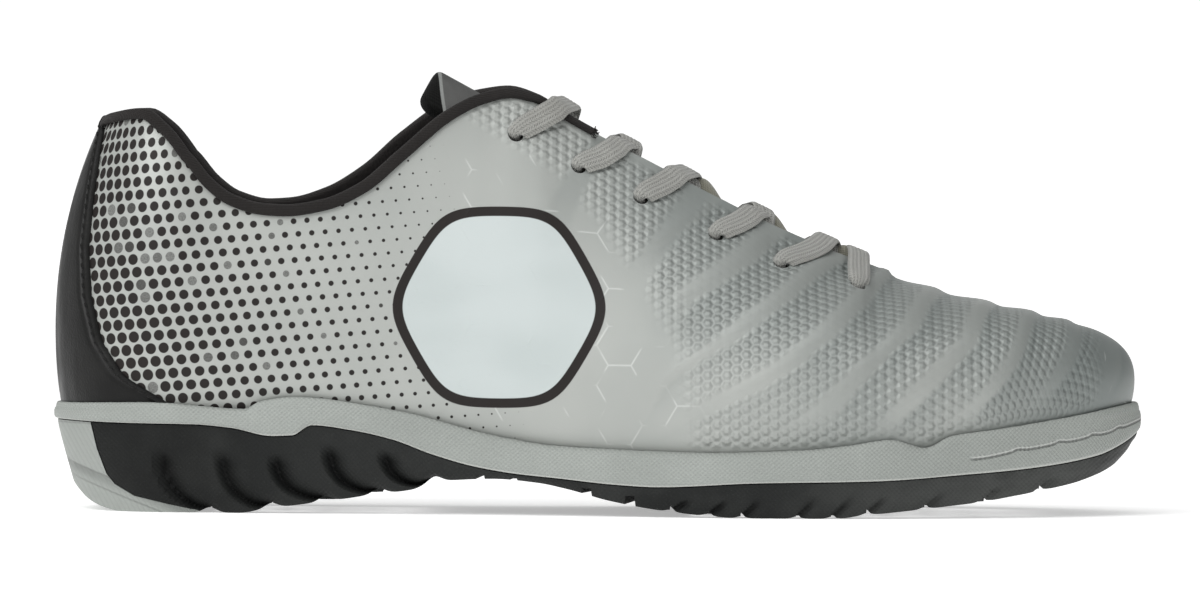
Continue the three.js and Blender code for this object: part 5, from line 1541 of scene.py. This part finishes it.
STRAND = table(
    "at w s lift wide curl",
    (0.0, 0.0, 0.0, -3.0, 0.5, 0.5), (0.05, 0.0, 0.0, -1.4, 0.52, 0.7), (0.085, 0.002, -0.01, 0.3, 0.66, 0.8),
    (0.12, 0.025, 0.03, 1.2, 0.88, 0.6), (0.17, 0.075, 0.11, 1.3, 0.98, 0.35), (0.22, 0.12, 0.19, 1.2, 1.0, 0.25),
    (0.34, 0.25, 0.38, 1.1, 1.0, 0.1), (0.44, 0.37, 0.5, 1.1, 1.0, 0.05), (0.53, 0.5, 0.57, 0.8, 0.98, 0),
    (0.58, 0.56, 0.61, 0.25, 0.97, 0), (0.63, 0.62, 0.65, -1.6, 0.96, 0.05), (0.73, 0.72, 0.76, -2.9, 0.95, 0.1),
    (0.85, 0.87, 0.91, -3.3, 0.85, 0.25), (0.94, 0.97, 0.98, -3.4, 0.6, 0.4), (1.0, 1.0, 1.0, -3.0, 0.52, 0.5),
)
LACE_PUSH = (1.0, 1.0, 0.2, 0.45, 0.1)  # how much further forward each crossing lies
BAR = table(
    "at w s lift wide curl",
    (0.0, 0.0, 0, -3.0, 0.5, 0.6), (0.06, 0.0, 0, -1.2, 0.52, 0.8), (0.12, 0.02, 0, 0.9, 0.7, 0.8),
    (0.18, 0.07, 0, 1.4, 0.92, 0.4), (0.3, 0.2, 0, 1.2, 1, 0.1), (0.4, 0.35, 0, 1.2, 1, 0), (0.5, 0.5, 0, 1.2, 1, 0),
    (0.6, 0.65, 0, 1.2, 1, 0), (0.7, 0.8, 0, 1.2, 1, 0.1), (0.82, 0.93, 0, 1.4, 0.92, 0.4),
    (0.88, 0.98, 0, 0.9, 0.7, 0.8), (0.94, 1, 0, -1.2, 0.52, 0.8), (1.0, 1.0, 0, -3.0, 0.5, 0.6),
)


def lace_room(x):
    """What a lace needs more over the binding than over the plain skin in front of it."""
    bound = x_of(BINDING_END) + LACE_WIDTH / 2
    return (BINDING_THICK + 3 * GAP + RIM_WALL - WALL) * fade(x, bound, bound + LACE_WIDTH / 2)


def braid(name, instep, shape, start, end, x0, x1, material, over=0.0, crossed=False, push=0.0):
    """A flat lace from one eyelet to another over the skin: start and end are across, x0 and x1 along."""
    sizes = sizes_of("lace")
    at = np.linspace(0, 1, 121)
    w, share_x, lift, wide, curl = (curve(shape, key, at, True) for key in ("w", "s", "lift", "wide", "curl"))
    share_x = 1 - (1 - share_x) ** (1 + 0.9 * push)
    xs, across = mix(x0, x1, share_x), mix(start, end, w)
    if crossed:
        above = 0.45 * ease(w, 0.1, 0.2) * fade(w, 0.46, 0.54)
        under = ease(w, 0.5, 0.6) * fade(w, 0.84, 0.94)
        lift = lift + lace_room(xs) * (above - under)
    lift = lift + over * np.exp(-(((w - 0.5) / 0.13) ** 2))
    normal = instep.normal(xs, across)
    for _ in range(6):  # the lace is stiffer than the skin, so it spans small dips
        normal[1:-1] = unit(normal[:-2] + normal[1:-1] * 2 + normal[2:])
    line = instep.point(xs, across) + normal * lift[:, None]
    for _ in range(4):
        line[1:-1] = (line[:-2] + 2 * line[1:-1] + line[2:]) / 4
    ahead = instep.point(xs + 0.06 * (x1 - x0) * at, across + 0.06 * (end - start) * at)
    across_way = unit(np.cross(normal, unit(np.gradient(ahead, axis=0))))
    for _ in range(8):
        across_way[1:-1] = unit(across_way[:-2] + across_way[1:-1] + across_way[2:])
    out = unit(np.cross(np.gradient(line, axis=0), across_way))

    # The flat braid in section, with its lengthwise ribs, narrower and thicker where it enters an eyelet
    half, thick = sizes.width / MM / 2, sizes.thickness / MM / 2
    q = 1 - 2 * np.linspace(0, 1, 15)
    top = np.stack((q, np.sqrt(np.clip(1 - np.abs(q) ** 5, 0, 1)) * (1 + 0.1 * np.cos(q * math.pi * 6))), -1)
    loop = np.concatenate((top, -top[1:-1]))[None]
    u = loop[..., 0] * half * wide[:, None]
    v = loop[..., 1] * thick * (1 + 0.55 * (1 - wide))[:, None] - loop[..., 0] ** 2 * curl[:, None] * half * 0.45
    rings = line[:, None] + across_way[:, None] * u[..., None] + out[:, None] * v[..., None]
    run = np.concatenate(([0], np.cumsum(np.linalg.norm(np.diff(line, axis=0), axis=1))))
    flat_run = np.stack(np.broadcast_arrays(run[:, None], loop[..., 0] * half, 0.0), -1).reshape(-1, 3)
    return finish(shade_by_angle(sweep(name, rings, material, {"run": flat_run}), 75), "lace_cord")


class LaceOperator(bpy.types.Operator):
    """Runs the flat lace from eyelet to eyelet: five crossings and the bar at the front."""

    bl_idname = "turf_shoe.lace"
    bl_label = "Lace"

    def execute(self, context):
        material, instep = flat_lace(sizes_of("lace")), Instep()
        for i, push in enumerate(LACE_PUSH):
            x0, x1 = EYELET_X[i], EYELET_X[i + 1]
            for side, label in ((OUTER, "outer"), (INNER, "inner")):
                start, end = float(eyelet_across(side, x0)), float(eyelet_across(-side, x1))
                over = 0.75 if (side == OUTER) == (i % 2 == 0) else -0.75
                name = f"lace_{i + 1}_{label}"
                piece = braid(name, instep, STRAND, start, end, x0, x1, material, over, True, push)
                if side == OUTER:
                    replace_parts(piece, f"lace_crossing_{i + 1}")
        x = EYELET_X[-1]
        start, end = float(eyelet_across(OUTER, x)), float(eyelet_across(INNER, x))
        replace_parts(braid("lace_front", instep, BAR, start, end, x, x, material), "lace_bar")
        return {"FINISHED"}


# Sole

HEEL_NOTCHES = np.array((0.147, 0.203, 0.252, 0.301, 0.352))
FORE_NOTCHES = np.array((0.566, 0.6, 0.63, 0.68, 0.712, 0.744, 0.797, 0.85, 0.903))
CROSS_GROOVES = (  # where, as a share of the length, with width and depth as shares of a stud's height
    (0.147, 0.4, 0.6), (0.203, 0.4, 0.6), (0.252, 0.4, 0.6), (0.301, 0.4, 0.55), (0.352, 0.5, 0.4), (0.392, 1.5, 0.35),
    (0.423, 1.2, 0.25), (0.49, 1.6, 0.6), (0.53, 1.6, 0.9),
)
FORE_WEDGE = (1.5, 0.5, 1.5)  # how far a forefoot notch reaches ahead, behind and up
CLIP_FACE = (
    (0.036, 0.9), (0.037, 0.78), (0.043, 0.55), (0.052, 0.33), (0.06, 0.24), (0.078, 0.14), (0.11, 0.07),
    (0.136, 0.02), (0.14, -0.1),
)
POCKETS = ((0.152, 0.345), (0.585, 0.905))  # where the studs stand, as shares of the length
HEEL_PART, FORE_PART = 125, 140  # where the heel's side grooves end and where the forefoot's begin
SIDE_BOW = 1.7  # how much the tread's side curves in towards the ground
LIP_START = 0.72  # share of the sidewall's height where its lip begins
WALL_INSET = table("at inset", (0, 0.8), (0.04, 0.35), (0.12, 0.1), (0.28, 0.0), (0.45, 0), (0.6, 0.16), (0.72, 0.5))
INSOLE_RINGS = (  # height over the floor, and distance in from the edge
    (0.05, 0.0), (1.6, 0.0), (2.6, 0.5), (3.0, 1.8), (2.9, 6.0), (2.5, 14.0), (2.3, 20.0),
)
TOE_LINE = table(
    "at z", (243.0, 15.8), (256.0, 17.9), (267.2, 19.8), (276.3, 21.5), (283.2, 23.1), (289.1, 25.2), (291.0, 25.8),
)
TOE_TICKS = (256.0, 267.2, 276.3, 283.2)


def level_of_lip(side, place):
    """Where the skin comes out of the cup, just above its lip."""
    t = np.linspace(0, WIDEST, 126)
    line = skin_grid(side, place, t)
    above = line[..., 2] >= lip_z(line[..., 0]) + 2 * GAP
    return t[np.where(above.any(1), np.argmax(above, axis=1), len(t) - 1)]


def sole_radius(side, place):
    own = HALF * by_side(FORM, "sole", side, place)
    return np.maximum(own, section(side, place, level_of_lip(side, place))[0] + GAP + LIP_THICK + 0.7)


def margin_at(x, y):
    """How far a place on the tread lies inside the sole's outline."""
    side = OUTER if y < centre_y(x) else INNER
    if x <= TOE_CENTRE:
        place, away = float(place_of(x)), abs(y - float(centre_y(x)))
    else:
        away = math.hypot(y - TOE_SWING, x - TOE_CENTRE)
        place = 5 - math.atan2(abs(y - TOE_SWING), x - TOE_CENTRE) / (math.pi / 2)
    return float(sole_radius(np.array([float(side)]), np.array([place]))[0]) - away


def cross_prism(name, outline, reach=120.0, slant=0.0):
    """A closed bar across the shoe with an outline in x and z, slanted by a share of its length."""
    ends = ((-reach, -slant * (reach - 40)), (reach, slant * (reach + 40)))
    return sweep(name, np.array([[(x + shift, y, z) for x, z in outline] for y, shift in ends]))


def clip_prism(shift):
    face = [(x * LENGTH + shift, z * SOLE_HEIGHT) for x, z in CLIP_FACE]
    ground = [(-LENGTH, -SOLE_HEIGHT), (face[-1][0], -SOLE_HEIGHT)]
    return cross_prism("clip", [*ground, *face[::-1], (face[0][0], SOLE_HEIGHT), (-LENGTH, SOLE_HEIGHT)])


def notch_cut(at, notches, width, lead, power):
    """How deep each notch is at a place: it starts over a short lead and runs out over its width."""
    d = (at[..., None] - notches) / width
    fade = np.where(d < 0, ease(1 + d / lead, 0, 1), np.clip(1 - d, 0, 1) ** power)
    return np.where((d > 1) | (d < -lead), 0, fade).max(-1)


def side_groove(x, up, depth):
    """How far the tread's side is cut in and how hollow it is there, which the tread paints as shade. The grooves sweep
    down to their notches.
    """
    cut_in = notch_cut(x / LENGTH + 0.044 * (1 - (1 - up) ** 4.5), HEEL_NOTCHES, 0.024, 0.45, 1.4)
    swell = 0.7 * ease(x, 50, 62) * fade(x, 108, 118) * (1 - cut_in) * np.sin(min(up / 0.75, 1) * math.pi)
    deep = cut_in * fade(up, 0.55, 0.8) * (x < HEEL_PART)
    fore = notch_cut(x / LENGTH - 0.03 * up, FORE_NOTCHES, 0.013, 0.4, 1.2) * fade(up, 0.3, 0.7) * (x > FORE_PART)
    lumps = 0.35 * np.sin(x / 3.1 + 4 * up) * np.sin(x / 5.3 - 3 * up) * fade(up, 0.5, 0.8) * (x > FORE_PART)
    return depth * deep - swell * (x < HEEL_PART) + 1.7 * fore + lumps, np.maximum(deep, fore)


def block_ends(x):
    """How far the tread's blocks curve up towards the notch on each side of them."""
    heel, fore = (np.abs(x[..., None] - notches * LENGTH).min(-1) for notches in (HEEL_NOTCHES, FORE_NOTCHES))
    return 1.3 * np.exp(-((heel / 2.4) ** 2)) + 0.5 * np.exp(-((fore / 1.6) ** 2))


def stud_places():
    """The studs' places on the tread in staggered rows, with the height of each."""
    points, scales = [], []
    pace = STUD_PITCH * math.sin(math.pi / 3)
    for start, end in POCKETS:
        xs = np.arange(start * LENGTH + STUD_RADIUS * 1.6, end * LENGTH - STUD_RADIUS * 1.3, pace)
        for row, x in enumerate(xs):
            low, top = float(tread_z(x)), float(seam_z(x)) - GAP - PLATE / 2
            for k in range(-5, 6):
                y = float(centre_y(x)) + (k + (row % 2) / 2) * STUD_PITCH
                if margin_at(x, y) >= BLOCK_REACH + 2 * STUD_RADIUS:
                    points.append((x, y, low))
                    scales.append((1, 1, min(LUG_DEPTH + PLATE / 2, top - low) * MM))
    return np.array(points), np.array(scales)


class SoleOperator(bpy.types.Operator):
    """Builds the grey cup, the black tread with its grooves and studs, the heel clip and the insole."""

    bl_idname = "turf_shoe.sole"
    bl_label = "Sole"

    def execute(self, context):
        sizes = sizes_of("sole")
        side, place = ring_of(np.concatenate((
            np.linspace(0, 1, 37)[:-1], np.linspace(1, 2.3, 261)[:-1], np.linspace(2.3, 4, 181)[:-1],
            np.linspace(4, 5, 45),
        )))
        start_x, _, dx, _ = ray(side, place)
        radius = sole_radius(side, place)
        taper = SOLE_HEIGHT * curve(SOLE_TAPER, "inset", place)

        def ring(r, height):
            """A ring at a distance from the centreline, with its height worked out from its x."""
            return on_ray(side, place, r, height(start_x + r * dx))

        self.build_cup(sizes, side, place, radius, ring)
        black = tread_rubber(sizes)
        rings, hollows = [], []
        for up in np.concatenate((np.linspace(0, 0.85, 40), (0.92, 1.0))):
            r = radius - 1 - taper * (1 - up) ** SIDE_BOW
            x = start_x + r * dx
            inward, hollow = side_groove(x, up, sizes.side_groove / MM)
            # The heights are those of the tread without its grooves
            rings.append(on_ray(side, place, r - inward, mix(tread_z(x) + block_ends(x), seam_z(x) - GAP, up)))
            hollows.append(hollow)
        # The hollow values give the painted shade in the tread's grooves
        tread = ring_stack("tread", rings, black, {"hollow": np.concatenate(hollows)})
        clip = cut(ring_stack("heel_clip_rubber", rings, clip_rubber(sizes)), clip_prism(0.0), "INTERSECT")
        cut(tread, clip_prism(GAP))
        self.cut_tread(tread, ring, radius - taper - BLOCK_REACH)
        points, scales = stud_places()
        inputs = {"Radius": sizes.stud_radius, "Taper": 0.8, "Rubber": black}
        studs = grow("studs", stud_tree(), points, {"size": scales}, inputs)
        finish(shade_by_angle(tread, 32), "black_rubber", "outsole")
        finish(shade_by_angle(clip, 40), "grey_rubber", "heel_clip")
        finish(studs, "black_rubber")

        foot = section(side, place, np.zeros_like(place))[0] - WALL - 3 * GAP
        insole = ring_stack("insole_cloth", [
            ring(np.maximum(foot - inset, 1.0), lambda x, level=level: floor_z(x) + GAP + level)
            for level, inset in INSOLE_RINGS
        ], woven_cloth("insole cloth", sizes.insole, 1.1))
        finish(insole, "insole_cloth", "insole")
        return {"FINISHED"}

    def build_cup(self, sizes, side, place, radius, ring):
        """The sidewall up to its lip, over it and down inside along the skin to the floor."""
        lip_level = level_of_lip(side, place)
        (rim_r, rim_z), (half_r, half_z), (foot_r, _) = (section(side, place, lip_level * by) for by in (1, 0.5, 0))
        lip_r = np.minimum(rim_r + GAP + LIP_THICK * mix(1, 0.35, ease(place, 3.9, 4.6)), radius - 0.6)
        walls = [
            (radius - curve(WALL_INSET, "inset", up), min(up, LIP_START))
            for up in (0, 0.02, 0.06, 0.12, 0.2, 0.3, 0.4, 0.5, 0.6, 0.7, 0.75)
        ]
        walls += [
            (lip_r + (radius - 0.5 - lip_r) * math.cos(a), LIP_START + (1 - LIP_START) * math.sin(a))
            for a in np.radians((18, 36, 54, 72, 90))
        ]
        rings = [ring(r, lambda x, up=up: mix(seam_z(x), lip_z(x), up)) for r, up in walls]
        rings += [
            on_ray(side, place, rim_r + GAP, rim_z - 2 * GAP), on_ray(side, place, half_r + GAP, half_z),
            ring(foot_r + GAP, floor_z),
        ]
        walk = on_ray(side, place, radius, np.zeros_like(radius))
        run = np.concatenate(([0], np.cumsum(np.linalg.norm(np.diff(walk, axis=0), axis=1))))
        x, z = np.concatenate(rings)[:, 0], np.concatenate(rings)[:, 2]
        ticks = sum(0.9 * np.exp(-np.abs(x - tick) / 0.9) for tick in TOE_TICKS)
        cup = ring_stack("sidewall", rings, sidewall_rubber(sizes), {
            "round": np.stack((np.tile(run, len(rings)), z, 0 * z), -1),
            "toe_line": z - curve(TOE_LINE, "z", x) - ticks,
            "seam_edge": np.repeat((1.0, 0.0), (2 * len(side), (len(rings) - 2) * len(side))),
        })
        finish(shade_by_angle(cup, 55), "grey_rubber", "midsole")

    def cut_tread(self, tread, ring, pocket_r):
        """Cuts the grooves across the tread, the forefoot's notches and the two pockets of studs."""
        for share_x, width, deep in CROSS_GROOVES:
            at, w = share_x * LENGTH, width * LUG_DEPTH / 2
            top = float(min(tread_z(at) + deep * LUG_DEPTH, seam_z(at) - GAP - PLATE))
            outline = [(at - w, -5), (at + w, -5), (at + w * 0.55, top), (at - w * 0.55, top)]
            cut(tread, cross_prism("groove", outline, slant=(2.2 * w + 1.0) / 80))
        ahead, behind, tall = FORE_WEDGE
        for at in FORE_NOTCHES * LENGTH:
            low = float(tread_z(at))
            below = [(at - behind, low - 3), (at + ahead * 3, low - 3)]
            cut(tread, cross_prism("notch", [*below, (at + ahead, low), (at, low + tall), (at - behind * 0.2, low)]))
        for start, end in POCKETS:
            a, b = start * LENGTH, end * LENGTH
            pocket = ring_stack("pocket", [
                ring(pocket_r, lambda x: -5.0),
                ring(pocket_r, lambda x: np.minimum(tread_z(x) + LUG_DEPTH, seam_z(x) - GAP - PLATE)),
            ])
            cut(pocket, cross_prism("span", [(a, -10), (b, -10), (b, 30), (a, 30)]), "INTERSECT")
            cut(tread, pocket)


OPERATORS = (StageOperator, SkinOperator, TrimOperator, TongueOperator, LaceOperator, SoleOperator)
GROUPS = {"skin": SkinSizes, "trim": TrimSizes, "lace": LaceSizes, "sole": SoleSizes, "stage": StageSizes}


class ShoePanel(bpy.types.Panel):
    """Lists the pieces of the shoe."""

    bl_idname = "VIEW3D_PT_turf_shoe"
    bl_label = "Turf Soccer Shoe"
    bl_space_type = "VIEW_3D"
    bl_region_type = "UI"
    bl_category = "Turf Shoe"

    def draw(self, context):
        for kind in GROUPS:
            box = self.layout.box()
            box.label(text=kind.capitalize())
            for name in GROUPS[kind].__annotations__:
                box.prop(sizes_of(kind), name)
        for operator in OPERATORS:
            self.layout.operator(operator.bl_idname)


def register():
    for kind, group in GROUPS.items():
        bpy.utils.register_class(group)
        setattr(bpy.types.Scene, "turf_shoe_" + kind, bpy.props.PointerProperty(type=group))
    for operator in OPERATORS:
        bpy.utils.register_class(operator)
    bpy.utils.register_class(ShoePanel)


def unregister():
    bpy.utils.unregister_class(ShoePanel)
    for operator in reversed(OPERATORS):
        bpy.utils.unregister_class(operator)
    for kind, group in reversed(GROUPS.items()):
        delattr(bpy.types.Scene, "turf_shoe_" + kind)
        bpy.utils.unregister_class(group)


def main():
    register()
    for operator in OPERATORS:
        group, name = operator.bl_idname.split(".")
        getattr(getattr(bpy.ops, group), name)()
    bpy.context.view_layer.update()


if __name__ == "__main__":
    main()
